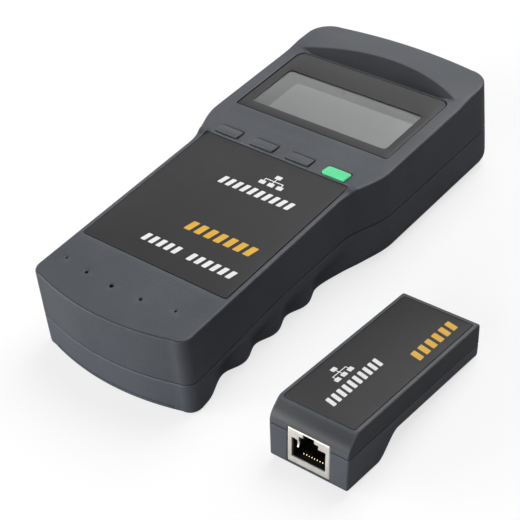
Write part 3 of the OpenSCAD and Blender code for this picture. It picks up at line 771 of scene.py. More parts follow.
def remote_shells():
    P = r_profile()
    inner = [(y, z) for y, z in inset(P, 1.6)]
    # the inner outline without the loops that tight corners would make
    Q = np.array([q for q in inner if 1.5 < q[0] < R_L - 1.5 and q[1] > 1.5])
    out = []
    for top in (False, True):
        o = prism("remote_upper" if top else "remote_lower", P, R_W, 0.7, draft=0.004, low=0.03)
        if top:
            cut(o, [box_solid("c", -30, 30, -10, 90, R_PART + 0.14, 40, place=local)], "INTERSECT")
            bevel_plane(o, R_PART + 0.14, 0.26)
        else:
            cut(o, [box_solid("c", -30, 30, -10, 90, -10, R_PART - 0.14, place=local)], "INTERSECT")
            bevel_plane(o, R_PART - 0.14, 0.3)
        cav = prism("c", Q, R_W - 1.6, 0.8, draft=0.0)
        cut(o, [cav])
        if top:
            cut(o, [cyl_solid("c", 0, y, 16.1, 19.2, 2.6, 32, place=local) for y in (36, 65)], "UNION")
            rec = rrect_loops(0, 38.4, 13.5, 33.4, 0.7, [0.0, 0.0, 0.05, 0.14, 0.14], 3.0, 4)
            m = Mesh()
            m.loft([[(x, y, z) for x, y in l] for l, z in zip(rec, (20.0, 20.42, 20.53, 20.61, 21.5))])
            for l, z in ((rec[0], 20.0), (rec[-1], 21.5)):
                m.field(l, [], lambda x, y, z=z: z)
            cut(o, [new("c", m, local)])
            cut(o, [cyl_solid("c", 0, y, 12, 18.4, 0.9, 24, place=local) for y in (36, 65)])
        else:
            cut(o, [cyl_solid("c", 0, y, R_STEP + 0.4, R_PART - 0.14, 3.2, 32, place=local) for y in (36, 65)], "UNION")
            cut(o, [cyl_solid("c", 0, y, R_STEP - 1, 26, 1.3, 32, place=local) for y in (36, 65)]
                + [cyl_solid("c", 0, y, R_STEP - 1, R_STEP + 1.6, 2.4, 32, place=local) for y in (36, 65)]
                + [cyl_solid("c", 0, y, R_STEP - 0.2, R_STEP + 0.3, 2.85, 32, place=local, r1=2.38) for y in (36, 65)])
        op = [(-8.15, 1.05), (8.15, 1.05), (8.15, 14.65), (-8.15, 14.65)]
        cut(o, [prism_cut("c", op, -2, 15.8, local, 0.18)])
        o.data.transform(R_MAT)
        out.append(smooth(o, 30))
    return out


remote_lower, remote_upper = remote_shells()
remote_plate = plate("remote_plate", 0, 38.4, 13.34, 33.24, 0.6, lambda x, y: 20.56, 0.52, 0.13, place=local)
remote_plate.data.transform(R_MAT)
print("remote", len(remote_lower.data.polygons), len(remote_upper.data.polygons))


# ---------------------------------------------------------------- modular jacks: mouth at y = 0 facing -Y

def notch(w, z0, z1, w1, z2, w2, z3):
    """Plug opening with its two-step latch notch."""
    return [(-w, z0), (w, z0), (w, z1), (w1, z1), (w1, z2), (w2, z2), (w2, z3), (-w2, z3), (-w2, z2), (-w1, z2), (-w1, z1), (-w, z1)]


def jack(name, M):
    # shield: a thin metal box round the insert, its front edges rounded
    o = box_solid(name + "_shield", -8, 8, 0, 15.4, 0, 13.3, bevel=0.45, place=local)
    cut(o, [box_solid("c", -7.6, 7.6, 0.42, 15.0, 0.4, 12.9, place=local)])
    cut(o, [prism_cut("c", notch(6.35, 2.45, 9.85, 3.6, 11.3, 2.1, 12.75), -1, 0.8, local, 0.13)])
    # seam slots on both sides and a punched spring beside the mouth
    cut(o, [box_solid("c", s * 8 - 0.15, s * 8 + 0.15, 4.5, 9.5, 5.0, 5.35, place=local) for s in (-1, 1)])
    tab = Mesh()
    path = [(0.12, 9.95), (0.5, 9.7), (0.95, 8.9), (1.15, 7.8), (1.05, 6.8), (0.75, 6.3)]
    rows = []
    for i, (y, z) in enumerate(path):
        a = path[max(i - 1, 0)]
        b = path[min(i + 1, len(path) - 1)]
        t = Vector((b[0] - a[0], b[1] - a[1])).normalized()
        n = Vector((-t[1], t[0])) * 0.11
        x0, x1 = -4.95 + 0.05 * i, -3.95 - 0.05 * i
        rows.append([(x0, y + n[0], z + n[1]), (x1, y + n[0], z + n[1]), (x1, y - n[0], z - n[1]), (x0, y - n[0], z - n[1])])
    tab.loft(rows)
    tab.f.append(tuple(tab.pts(rows[0])))
    tab.f.append(tuple(tab.pts(rows[-1])))
    spring = new(name + "_spring", tab, local)
    # insulating insert
    ins = box_solid(name + "_insert", -7.58, 7.58, 0.44, 14.98, 0.42, 12.88, bevel=0.15, place=local)
    cut(ins, [prism_cut("c", notch(5.95, 2.6, 9.6, 3.2, 10.9, 1.8, 12.3), -1, 12.4, local, 0.0)])
    cut(ins, [box_solid("c", i * 1.02 - 0.3, i * 1.02 + 0.3, 2.4, 13.0, 1.9, 2.7, place=local) for i in np.arange(-3.5, 3.6, 1)])
    # contacts: eight wires lying in the insert's comb of slots, bent round at the front and rising towards the back
    wires = Mesh()
    for i in np.arange(-3.5, 3.6, 1):
        p = [(11.9, 2.12), (6.5, 2.12), (3.5, 2.14), (2.9, 2.3), (2.62, 2.62), (2.75, 2.98), (3.2, 3.2), (4.2, 3.42), (7.5, 4.05), (11.6, 4.8)]
        q = []
        for k in range(len(p) - 1):
            for t in (0.0, 0.5):
                q.append((p[k][0] * (1 - t) + p[k + 1][0] * t, p[k][1] * (1 - t) + p[k + 1][1] * t))
        q.append(p[-1])
        rr = []
        for k, (y, z) in enumerate(q):
            a, b = q[max(k - 1, 0)], q[min(k + 1, len(q) - 1)]
            t = Vector((b[0] - a[0], b[1] - a[1])).normalized()
            n = Vector((-t[1], t[0]))
            rr.append([(i * 1.02 + 0.19 * math.cos(g), y + n[0] * 0.19 * math.sin(g), z + n[1] * 0.19 * math.sin(g)) for g in np.linspace(0, 2 * math.pi, 9)[:-1]])
        wires.loft(rr)
        for row in (rr[0], rr[-1]):
            wires.f.append(tuple(wires.pts(row)))
    con = new(name + "_contacts", wires, local)
    for x in (o, spring, ins, con):
        x.data.transform(M)
        smooth(x, 30)
    return {"shield": o, "spring": spring, "insert": ins, "contacts": con}


jacks = {"remote": jack("remote_jack", R_MAT @ Matrix.Translation(Vector((0, 0.12, 1.2)) * MM))}
for k, s in (("main", -1), ("loop", 1)):
    jacks[k] = jack(k + "_jack", Matrix.Translation(Vector((s * 14, 177.3 - YO, 11.1)) * MM) @ Matrix.Rotation(math.pi, 4, "Z"))
print("jacks done")


# ---------------------------------------------------------------- screws with cross recess

def lathe(name, prof, n=28, place=local):
    m = Mesh()
    rows = []
    for r, z in prof:
        rows.append([(r * math.cos(2 * math.pi * i / n), r * math.sin(2 * math.pi * i / n), z) for i in range(n)])
    m.loft(rows)
    m.f.append(tuple(m.pts(rows[0])))
    m.f.append(tuple(m.pts(rows[-1])))
    return new(name, m, place)


def screw_at(name, pts, length, r, rh, hh, M=Matrix.Identity(4), cr=1.35):
    """Pan-head screws whose heads lie at z = z0 and point to -Z."""
    parts = []
    for x, y, z0 in pts:
        # head, thread as rings, point
        prof = [(rh * 0.35, 0.0), (rh * 0.75, 0.08), (rh * 0.93, 0.28), (rh, 0.62), (rh, hh - 0.12), (rh - 0.12, hh), (r * 0.82, hh), (r * 0.82, hh + 0.3)]
        z = hh + 0.5
        while z < length - 1.0:
            prof += [(r * 0.8, z), (r, z + 0.22), (r * 0.8, z + 0.44)]
            z += 0.62
        prof += [(r * 0.7, length - 0.5), (0.2, length)]
        o = lathe(name, prof)
        cr_m = []
        for a in (0, 90):
            m = Mesh()
            w = 0.24
            lo = [(-cr, -w, -0.3), (cr, -w, -0.3), (cr, w, -0.3), (-cr, w, -0.3)]
            hi = [(-cr * 0.3, -w * 0.7, 1.15), (cr * 0.3, -w * 0.7, 1.15), (cr * 0.3, w * 0.7, 1.15), (-cr * 0.3, w * 0.7, 1.15)]
            m.loft([lo, hi])
            m.f.append(tuple(m.pts(lo)))
            m.f.append(tuple(m.pts(hi)))
            c = new("c", m, local)
            c.data.transform(Matrix.Rotation(math.radians(a + 20), 4, "Z"))
            cr_m.append(c)
        cut(o, cr_m)
        o.data.transform(M @ Matrix.Translation(Vector((x, y, z0)) * MM))
        parts.append(o)
    # one object for the set
    bm = bmesh.new()
    for p in parts:
        bm.from_mesh(p.data)
    me = bpy.data.meshes.new(name)
    bm.to_mesh(me)
    bm.free()
    for p in parts:
        d = p.data
        bpy.data.objects.remove(p)
        bpy.data.meshes.remove(d)
    o = bpy.data.objects.new(name, me)
    bpy.context.scene.collection.objects.link(o)
    return smooth(o, 35)


case_screw_set = screw_at("case_screw_set", [(x, y - YO, 4.6) for x, y in ((28.3, 84), (-28.3, 84), (34.6, 157.5), (-34.6, 157.5))], 20.4, 1.2, 2.7, 2.4)
remote_screw_set = screw_at("remote_screw_set", [(0, y, R_STEP + 0.3) for y in (36, 65)], 9.6, 0.9, 2.2, 1.3, R_MAT, 1.1)
print("screws done")


# ---------------------------------------------------------------- four cells: metal ends, label, coloured band at the plus end

def cell_set(name, profs):
    m = Mesh()
    n = 48
    for i in range(4):
        cx = (i - 1.5) * 10.6
        for prof in profs:
            rows = []
            for r, z in prof:
                y = 27.9 + z if i % 2 == 0 else 65.4 - z
                rows.append([(cx + r * math.cos(2 * math.pi * k / n), y, 7.55 + r * math.sin(2 * math.pi * k / n)) for k in range(n)])
            m.loft(rows)
            for row in (rows[0], rows[-1]):
                m.f.append(tuple(m.pts(row)))
    return smooth(new(name, m), 35)


cell_ends = cell_set("cell_ends", [[(3.0, 0.12), (3.2, 0.0), (4.2, 0.0), (4.7, 0.12), (4.82, 0.34)],
                                   [(4.72, 43.0), (4.6, 43.3), (4.0, 43.42), (2.6, 43.5), (2.1, 43.56), (1.9, 43.75), (1.9, 44.3), (1.72, 44.5)]])
cell_label = cell_set("cell_label", [[(4.7, 0.36), (5.05, 0.42), (5.22, 0.7), (5.24, 1.2), (5.24, 31.0)]])
cell_band = cell_set("cell_band", [[(5.24, 31.04), (5.24, 42.2), (5.2, 42.6), (5.0, 42.9), (4.6, 42.97)]])


# ---------------------------------------------------------------- printed marks: plain blocks and a small network tree, no letters

def prism_marks(name, polys, zf, t=0.035, place=None, M=None):
    m = Mesh()
    for P in polys:
        hi = [(x, y, zf(x, y) + t) for x, y in P]
        lo = [(x, y, zf(x, y) - 0.03) for x, y in P]
        m.loft([hi, lo])
        V, T = region(P, [])
        for f, fl in ((hi, 1), (lo, 0)):
            z = t if fl else -0.03
            ids = m.pts([(v[0], v[1], zf(v[0], v[1]) + z) for v in V])
            m.f += [tuple(ids[i] for i in tr) for tr in T]
    o = new(name, m, place)
    if M is not None:
        o.data.transform(M)
    return o


def slant_block(x, y, w, h, s=0.22, r=0.32):
    """Upright block leaning to the right, with rounded corners, from its lower left corner."""
    return [(a + (b - y) * s, b) for a, b in rrect(x + w / 2, y + h / 2, w / 2, h / 2, r, 0, 4)]


def block_row(x0, x1, y, h, n, fill=0.58, gaps=()):
    """n leaning blocks from x0 to x1; after the blocks listed in gaps comes a space."""
    cells = n + len(gaps)
    p = (x1 - x0 - h * 0.22) / (cells - 1 + fill)
    out, k = [], 0
    for i in range(n):
        out.append(slant_block(x0 + k * p, y, p * fill, h))
        k += 2 if i in gaps else 1
    return out


def tree(cx, cy, s):
    """Network tree: one box above, three below, joined by lines."""
    b, w = 1.15 * s, 0.17 * s
    P = [rrect(cx, cy + 2.1 * s, b, b * 0.72, 0.25 * s, 0, 4)]
    P.append(rrect(cx, cy + 0.72 * s, w, 0.6 * s, 0.02, 0, 2))
    P.append(rrect(cx, cy + 0.0 * s, 3.6 * s, w, w * 0.9, 0, 3))
    for k in (-1, 0, 1):
        P.append(rrect(cx + k * 3.4 * s, cy - 0.62 * s, w, 0.5 * s, 0.02, 0, 2))
        P.append(rrect(cx + k * 3.4 * s, cy - 1.9 * s, b, b * 0.72, 0.25 * s, 0, 4))
    return P


print_white = prism_marks("print_white", tree(8.0, 83.3, 1.12) + block_row(-9.8, 22.2, 73.2, 4.0, 10) + block_row(-12.6, 27.4, 35.6, 3.8, 11, gaps=(4,)), LAB_Z)
print_amber = prism_marks("print_amber", block_row(-3.4, 26.0, 47.5, 4.8, 7, 0.62), LAB_Z)
turn = lambda P: [(-q[1], q[0]) for q in P]
r_face = lambda x, y: 20.56
rp_white = prism_marks("remote_print_white", [turn(p) for p in tree(25.0, 6.6, 1.0) + block_row(10.2, 37.6, -2.1, 4.0, 10)], r_face, place=local, M=R_MAT)
rp_amber = prism_marks("remote_print_amber", [turn(p) for p in block_row(45.2, 68.6, -10.2, 4.4, 6, 0.62)], r_face, place=local, M=R_MAT)


# ---------------------------------------------------------------- materials

def material(name, base, rough=0.5, var=0.10, var_scale=45, rough_var=0.08, grain=2600, grain_h=0.012, spec=0.5, metallic=0.0, coat=0.0,
             alt=None, aniso=None, speckle=0.0):
    """Moulded, painted or plated surface: slow colour drift, fine moulded grain in the bump, and patchy gloss."""
    m = bpy.data.materials.new(name)
    m.use_nodes = True
    nt = m.node_tree
    nt.nodes.clear()
    N, L = nt.nodes.new, nt.links.new
    out = N("ShaderNodeOutputMaterial")
    b = N("ShaderNodeBsdfPrincipled")
    L(b.outputs[0], out.inputs[0])
    b.inputs["Metallic"].default_value = metallic
    b.inputs["Specular IOR Level"].default_value = spec
    b.inputs["Coat Weight"].default_value = coat
    if coat:
        b.inputs["Coat Roughness"].default_value = 0.12
    tc = N("ShaderNodeTexCoord")
    mp = N("ShaderNodeMapping")
    L(tc.outputs["Object"], mp.inputs[0])
    if aniso:
        mp.inputs["Scale"].default_value = aniso
    # slow drift of colour
    n1 = N("ShaderNodeTexNoise")
    n1.inputs["Scale"].default_value = var_scale
    n1.inputs["Detail"].default_value = 5
    L(tc.outputs["Object"], n1.inputs["Vector"])
    r1 = N("ShaderNodeValToRGB")
    r1.color_ramp.elements[0].position = 0.3
    r1.color_ramp.elements[1].position = 0.7
    c0 = [c * (1 - var) for c in base]
    c1 = [c * (1 + var) for c in (alt or base)]
    r1.color_ramp.elements[0].color = (*c0, 1)
    r1.color_ramp.elements[1].color = (*c1, 1)
    L(n1.outputs["Fac"], r1.inputs[0])
    col = r1.outputs[0]
    # fine grain in colour
    n2 = N("ShaderNodeTexNoise")
    n2.inputs["Scale"].default_value = grain * 0.6
    n2.inputs["Detail"].default_value = 2
    L(mp.outputs[0], n2.inputs["Vector"])
    mx = N("ShaderNodeMix")
    mx.data_type = "RGBA"
    mx.blend_type = "MULTIPLY"
    mx.inputs["Factor"].default_value = 0.25 + speckle
    gr = N("ShaderNodeValToRGB")
    gr.color_ramp.elements[0].position = 0.35
    gr.color_ramp.elements[0].color = (0.72, 0.72, 0.72, 1)
    gr.color_ramp.elements[1].position = 0.65
    gr.color_ramp.elements[1].color = (1.22, 1.22, 1.22, 1)
    L(n2.outputs["Fac"], gr.inputs[0])
    L(col, mx.inputs[6])
    L(gr.outputs[0], mx.inputs[7])
    L(mx.outputs[2], b.inputs["Base Color"])
    # roughness: handling marks
    n3 = N("ShaderNodeTexNoise")
    n3.inputs["Scale"].default_value = 130
    n3.inputs["Detail"].default_value = 6
    n3.inputs["Roughness"].default_value = 0.65
    L(mp.outputs[0], n3.inputs["Vector"])
    mr = N("ShaderNodeMapRange")
    mr.inputs["From Min"].default_value = 0.3
    mr.inputs["From Max"].default_value = 0.7
    mr.inputs["To Min"].default_value = max(0.03, rough - rough_var)
    mr.inputs["To Max"].default_value = min(1.0, rough + rough_var)
    L(n3.outputs["Fac"], mr.inputs["Value"])
    L(mr.outputs[0], b.inputs["Roughness"])
    # moulded grain
    n4 = N("ShaderNodeTexNoise")
    n4.inputs["Scale"].default_value = grain
    n4.inputs["Detail"].default_value = 3
    L(mp.outputs[0], n4.inputs["Vector"])
    bp = N("ShaderNodeBump")
    bp.inputs["Strength"].default_value = 0.6
    bp.inputs["Distance"].default_value = grain_h * MM
    L(n4.outputs["Fac"], bp.inputs["Height"])
    L(bp.outputs[0], b.inputs["Normal"])
    return m


SLATE = (0.066, 0.072, 0.084)
M = {
    "housing": material("slate_housing", SLATE, 0.46, rough_var=0.025, alt=(0.070, 0.075, 0.086), grain=2400, grain_h=0.014, spec=0.42),
    "housing_low": material("slate_housing_back", [c * 1.15 for c in SLATE], 0.48, rough_var=0.025, grain=2400, grain_h=0.016, spec=0.42),
    "plate": material("dark_overlay", (0.0255, 0.0245, 0.0262), 0.55, rough_var=0.025, var=0.06, grain=3600, grain_h=0.006, spec=0.35),
    "bezel": material("bezel_plastic", (0.034, 0.032, 0.034), 0.42, rough_var=0.025, var=0.06, grain=3000, grain_h=0.008, spec=0.4),
    "key": material("slate_key", (0.060, 0.066, 0.077), 0.42, grain=3000, grain_h=0.008, spec=0.45),
    "green": material("green_key", (0.10, 0.74, 0.33), 0.38, var=0.05, grain=3000, grain_h=0.006, spec=0.5),
    "white_ink": material("white_ink", (0.80, 0.80, 0.79), 0.5, var=0.03, var_scale=300, grain=5000, grain_h=0.004),
    "amber_ink": material("amber_ink", (0.72, 0.41, 0.035), 0.5, var=0.04, var_scale=300, grain=5000, grain_h=0.004),
    "nickel": material("nickel_plate", (0.80, 0.77, 0.72), 0.42, var=0.05, var_scale=200, rough_var=0.06, grain=1800, grain_h=0.004, metallic=0.55, aniso=(1, 1, 6)),
    "gold": material("gold_contact", (0.92, 0.74, 0.42), 0.2, var=0.06, var_scale=400, grain=2500, grain_h=0.002, metallic=1.0),
    "black": material("black_plastic", (0.013, 0.013, 0.014), 0.5, var=0.12, grain=2600, grain_h=0.01, spec=0.4),
    "pcb": material("circuit_board", (0.02, 0.12, 0.045), 0.35, var=0.25, var_scale=260, alt=(0.03, 0.17, 0.07), grain=1500, grain_h=0.02, coat=0.3),
    "elastomer": material("elastomer", (0.035, 0.035, 0.036), 0.8, var=0.3, var_scale=1500, grain=1200, grain_h=0.02, spec=0.2),
    "ivory": material("ivory_plastic", (0.66, 0.60, 0.46), 0.45, var=0.05, grain=2600, grain_h=0.008),
    "tin": material("tin_plate", (0.66, 0.67, 0.68), 0.32, var=0.08, var_scale=300, grain=2000, grain_h=0.006, metallic=1.0, aniso=(1, 8, 1)),
    "guide": material("light_guide", (0.78, 0.82, 0.78), 0.22, var=0.03, grain=1200, grain_h=0.01, coat=0.4),
    "zinc": material("zinc_steel", (0.50, 0.51, 0.52), 0.34, var=0.12, var_scale=500, grain=1600, grain_h=0.006, metallic=1.0),
    "wire": material("wire_insulation", (0.42, 0.03, 0.025), 0.4, var=0.08, grain=2200, grain_h=0.01),
    "film": material("lcd_film", (0.436, 0.432, 0.437), 0.42, speckle=-0.22, var=0.015, var_scale=30, rough_var=0.03, grain=6000, grain_h=0.001, spec=0.4),
    "lcd": material("lcd_glass", (0.285, 0.283, 0.29), 0.42, speckle=-0.22, var=0.02, var_scale=30, rough_var=0.04, grain=6000, grain_h=0.001, spec=0.5),
    "label_dark": material("cell_label", (0.022, 0.024, 0.03), 0.3, var=0.06, grain=1800, grain_h=0.004, coat=0.3),
    "label_copper": material("cell_band", (0.62, 0.30, 0.13), 0.3, var=0.06, grain=1800, grain_h=0.004, metallic=0.8),
}


def clear(name):
    """Clear window: see-through, with a mirror sheen that grows at low angles and faint wipe marks."""
    m = bpy.data.materials.new(name)
    m.use_nodes = True
    nt = m.node_tree
    nt.nodes.clear()
    N, L = nt.nodes.new, nt.links.new
    out = N("ShaderNodeOutputMaterial")
    t = N("ShaderNodeBsdfTransparent")
    t.inputs[0].default_value = (0.95, 0.96, 0.955, 1)
    g = N("ShaderNodeBsdfGlossy")
    g.inputs["Color"].default_value = (1, 1, 1, 1)
    tc = N("ShaderNodeTexCoord")
    n = N("ShaderNodeTexNoise")
    n.inputs["Scale"].default_value = 90
    n.inputs["Detail"].default_value = 7
    L(tc.outputs["Object"], n.inputs["Vector"])
    mr = N("ShaderNodeMapRange")
    mr.inputs["To Min"].default_value = 0.22
    mr.inputs["To Max"].default_value = 0.30
    L(n.outputs["Fac"], mr.inputs["Value"])
    L(mr.outputs[0], g.inputs["Roughness"])
    bp = N("ShaderNodeBump")
    bp.inputs["Distance"].default_value = 0.001 * MM
    bp.inputs["Strength"].default_value = 0.01
    L(n.outputs["Fac"], bp.inputs["Height"])
    L(bp.outputs[0], g.inputs["Normal"])
    f = N("ShaderNodeFresnel")
    f.inputs["IOR"].default_value = 1.16
    mx = N("ShaderNodeMixShader")
    L(f.outputs[0], mx.inputs[0])
    L(t.outputs[0], mx.inputs[1])
    L(g.outputs[0], mx.inputs[2])
    L(mx.outputs[0], out.inputs[0])
    return m


M["clear"] = clear("clear_window")


def paint_light_and_shade(m, lean, lo, hi, tone, crescent=False, side=None):
    """Paints shade into the base colour: faces that lean back from the handle end get a painted dark reflection, and
    with crescent the hollow above the display gets painted shade; with a tone above 1 the same mask paints light
    instead.
    """
    nt = m.node_tree
    N, L = nt.nodes.new, nt.links.new
    b = next(n for n in nt.nodes if n.type == "BSDF_PRINCIPLED")
    src = b.inputs["Base Color"].links[0].from_socket
    tc = N("ShaderNodeTexCoord")

    def ramp(sock, a, c, lo, hi, kind="SMOOTHSTEP"):
        n = N("ShaderNodeMapRange")
        n.interpolation_type = kind
        for k, v in (("From Min", a), ("From Max", c), ("To Min", lo), ("To Max", hi)):
            n.inputs[k].default_value = v
        L(sock, n.inputs["Value"])
        return n.outputs[0]

    def mul(a, c):
        n = N("ShaderNodeMath")
        n.operation = "MULTIPLY"
        L(a, n.inputs[0])
        L(c, n.inputs[1])
        return n.outputs[0]

    def shade(fac, src, tone):
        mx = N("ShaderNodeMix")
        mx.data_type = "RGBA"
        mx.blend_type = "MULTIPLY"
        L(fac, mx.inputs["Factor"])
        L(src, mx.inputs[6])
        mx.inputs[7].default_value = (tone, tone, tone, 1)
        return mx.outputs[2]
    # painted shade and light: the base colour is multiplied by tone on faces turned towards this direction, standing in
    # for a dark reflection when tone is below 1 and for light when it is above 1
    dot = N("ShaderNodeVectorMath")
    dot.operation = "DOT_PRODUCT"
    L(tc.outputs["Normal"], dot.inputs[0])
    dot.inputs[1].default_value = side or (0, -math.sin(math.radians(lean)), math.cos(math.radians(lean)))
    src = shade(ramp(dot.outputs["Value"], lo, hi, 0.0, 1.0), src, tone)
    # painted shade in the hollow between the crown's arc and the rim strip, where the base colour is multiplied by 0.55
    if crescent:
        sep = N("ShaderNodeSeparateXYZ")
        L(tc.outputs["Object"], sep.inputs[0])
        cmb = N("ShaderNodeCombineXYZ")
        L(sep.outputs[0], cmb.inputs[0])
        L(sep.outputs[1], cmb.inputs[1])
        d = N("ShaderNodeVectorMath")
        d.operation = "DISTANCE"
        L(cmb.outputs[0], d.inputs[0])
        d.inputs[1].default_value = (0, (ARC_C - YO) * MM, 0)
        k = mul(ramp(d.outputs["Value"], (ARC_R - 0.8) * MM, (ARC_R + 0.9) * MM, 1.0, 0.0),
                ramp(d.outputs["Value"], (ARC_R - 9) * MM, ARC_R * MM, 1.0, 0.1, "LINEAR"))
        k = mul(k, ramp(sep.outputs[1], (RIM_Y - YO + 0.05) * MM, (RIM_Y - YO + 0.4) * MM, 0.0, 1.0))
        k = mul(k, ramp(sep.outputs[2], 31.0 * MM, 31.5 * MM, 0.0, 1.0))
        src = shade(k, src, 0.55)
    L(src, b.inputs["Base Color"])


# the remote's upper shell: painted shade on its sloped front face, standing in for a dark reflection
M["shell_up_painted_shade"] = material("slate_remote", SLATE, 0.46, rough_var=0.025, alt=(0.070, 0.075, 0.086), grain=2400, grain_h=0.014, spec=0.42)
paint_light_and_shade(M["shell_up_painted_shade"], 50, 0.925, 0.985, 0.35)
# the remote's lower shell: painted light on its +X side, where the base colour is made 1.5 times lighter
M["shell_low_painted_light"] = material("slate_remote_low_painted_light", [c * 1.15 for c in SLATE], 0.48, rough_var=0.025, grain=2400, grain_h=0.016, spec=0.42)
paint_light_and_shade(M["shell_low_painted_light"], 0, 0.55, 0.9, 1.5, side=(1, 0, 0))
# the front shell: painted dark reflection on faces turned towards the handle end, and painted shade in the hollow above
# the display
M["front"] = material("slate_front_painted_shade", SLATE, 0.46, rough_var=0.025, alt=(0.070, 0.075, 0.086), grain=2400, grain_h=0.014, spec=0.42)
paint_light_and_shade(M["front"], 45, 0.78, 0.93, 0.42, True)


def paint(o, key):
    o.data.materials.clear()
    o.data.materials.append(M[key])


def put(o, key, body, nodes=()):
    paint(o, key)
    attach(o, body)
    if nodes:
        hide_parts(*nodes)


put(housing_front, "front", "tester", ["front_shell"])
put(housing_back, "housing_low", "tester", ["back_shell"])
put(battery_cover, "housing_low", "battery_door", ["battery_door"])
put(faceplate, "plate", "tester", ["handle_faceplate"])
put(bezel, "bezel", "tester", ["display_bezel"])
put(window, "clear", "tester", ["display_lens"])
put(lcd_cell, "lcd", "tester", ["lcd_glass"])
put(lcd_film, "film", "tester")
put(print_white, "white_ink", "tester")
put(print_amber, "amber_ink", "tester")
for k, o in caps.items():
    put(o, "green" if k == "enter" else "key", "key_" + k, ["key_" + k])
put(remote_upper, "shell_up_painted_shade", "remote", ["remote_top_shell"])
put(remote_lower, "shell_low_painted_light", "remote", ["remote_bottom_shell"])
put(remote_plate, "plate", "remote", ["remote_faceplate"])
put(rp_white, "white_ink", "remote")
put(rp_amber, "amber_ink", "remote")
for k, j in jacks.items():
    body = "remote" if k == "remote" else "tester"
    put(j["shield"], "nickel", body, [k + "_jack_shield"])
    put(j["spring"], "nickel", body)
    put(j["insert"], "black", body, [k + "_jack_insert"])
    put(j["contacts"], "gold", body, [k + "_jack_contacts"])
put(case_screw_set, "zinc", "tester", ["case_screws"])
put(cell_ends, "tin", "tester", ["battery_cells"])
put(cell_label, "label_dark", "tester")
put(cell_band, "label_copper", "tester")
put(remote_screw_set, "zinc", "remote", ["remote_screws"])

NODE_MAT = {"lcd_backlight": "guide", "lcd_holder": "black", "zebra_strip": "elastomer", "main_board": "pcb", "board_chips": "black",
            "tact_switches": "tin", "buzzer": "black", "plunger_power": "ivory", "plunger_up": "ivory", "plunger_down": "ivory", "plunger_enter": "ivory",
            "battery_springs": "nickel", "battery_contacts": "nickel", "battery_wires": "wire", "board_screws": "zinc",
            "remote_board": "pcb", "remote_chips": "black"}
for n, k in NODE_MAT.items():
    paint(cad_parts[n], k)


# ---------------------------------------------------------------- floor, lights

fl = Mesh()
G = 8
xs = np.linspace(-1500, 1500, G + 1)
ids = [[fl.pts([(x, y + YO, -0.02)])[0] for x in xs] for y in xs]
for a in range(G):
    for c in range(G):
        fl.f.append((ids[a][c], ids[a][c + 1], ids[a + 1][c + 1], ids[a + 1][c]))
floor = new("floor", fl)
fm = bpy.data.materials.new("floor")
fm.use_nodes = True
nt = fm.node_tree
nt.nodes.clear()
f_out, f_mix, f_path = nt.nodes.new("ShaderNodeOutputMaterial"), nt.nodes.new("ShaderNodeMixShader"), nt.nodes.new("ShaderNodeLightPath")
f_pale, f_soft = nt.nodes.new("ShaderNodeBsdfDiffuse"), nt.nodes.new("ShaderNodeBsdfDiffuse")
f_pale.inputs[0].default_value = (0.97, 0.97, 0.97, 1)
f_soft.inputs[0].default_value = (0.25, 0.25, 0.25, 1)         # the floor throws little light back up at the object
nt.links.new(f_path.outputs["Is Camera Ray"], f_mix.inputs[0])
nt.links.new(f_soft.outputs[0], f_mix.inputs[1])
f_glow, f_cam = nt.nodes.new("ShaderNodeEmission"), nt.nodes.new("ShaderNodeMixShader")
f_glow.inputs[0].default_value = (1, 1, 1, 1)
f_glow.inputs[1].default_value = 1.0
f_cam.inputs[0].default_value = 0.72                                # a lit table, so that the shadow stays faint
nt.links.new(f_pale.outputs[0], f_cam.inputs[1])
nt.links.new(f_glow.outputs[0], f_cam.inputs[2])
nt.links.new(f_cam.outputs[0], f_mix.inputs[2])
nt.links.new(f_mix.outputs[0], f_out.inputs[0])
floor.data.materials.append(fm)


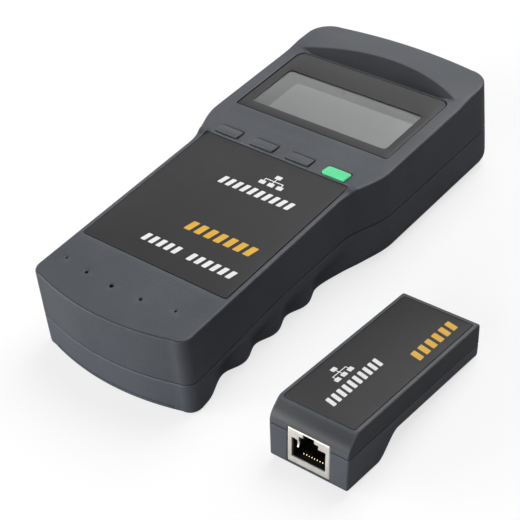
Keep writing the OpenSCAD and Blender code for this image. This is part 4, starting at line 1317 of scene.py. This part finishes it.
def area(name, d, dist, size, power, color=(1, 1, 1)):
    l = bpy.data.lights.new(name, "AREA")
    l.shape = "DISK"
    l.size = size
    l.energy = power
    l.color = color
    o = bpy.data.objects.new(name, l)
    bpy.context.scene.collection.objects.link(o)
    d = Vector(d).normalized()
    at = Vector((0.02, 0, 0.02))
    o.location = at + d * dist
    o.rotation_euler = d.to_track_quat("Z", "Y").to_euler()
    return o


# seven large soft panels around the object: (compass angle from +Y towards +X, height, strength)
for k, (az_, el_, p_) in enumerate(((225, 12, 1.065), (180, 12, 0.673), (0, 60, 0.68), (45, 35, 0.16), (0, 35, 0.195), (315, 12, 0.16), (270, 12, 0.149))):
    az_, el_ = math.radians(az_), math.radians(el_)
    area(f"panel_{k}", (math.sin(az_) * math.cos(el_), math.cos(az_) * math.cos(el_), math.sin(el_)), 1.2, 0.9, 14.21 * p_)
w = bpy.data.worlds.new("world")
bpy.context.scene.world = w
w.use_nodes = True
w.node_tree.nodes["Background"].inputs[0].default_value = (1, 1, 1, 1)
w_path = w.node_tree.nodes.new("ShaderNodeLightPath")        # a pale room behind the table that gives no light of its own
w.node_tree.links.new(w_path.outputs["Is Camera Ray"], w.node_tree.nodes["Background"].inputs[1])
bpy.context.scene.view_settings.view_transform = "Standard"

# ---------------------------------------------------------------- camera
cam_d = bpy.data.cameras.new("camera")
cam = bpy.data.objects.new("camera", cam_d)
bpy.context.scene.collection.objects.link(cam)
az, el, roll = (math.radians(a) for a in (43.162, 39.616, -6.943))
back = Vector((math.sin(az) * math.cos(el), -math.cos(az) * math.cos(el), math.sin(el)))
right = (-back).cross(Vector((0, 0, 1))).normalized()
up = right.cross(-back)
cx_ = right * math.cos(roll) + up * math.sin(roll)
cy_ = -right * math.sin(roll) + up * math.cos(roll)
pos = Vector((2.288, 77.239 - YO, 0)) + back * 544.704
cam.matrix_world = Matrix(((cx_.x, cy_.x, back.x, pos.x * MM), (cx_.y, cy_.y, back.y, pos.y * MM), (cx_.z, cy_.z, back.z, pos.z * MM), (0, 0, 0, 1)))
cam_d.sensor_width = 36
cam_d.lens = 1504.634 * 36 / 520
cam_d.clip_start = 0.01
cam_d.clip_end = 20
bpy.context.scene.camera = cam
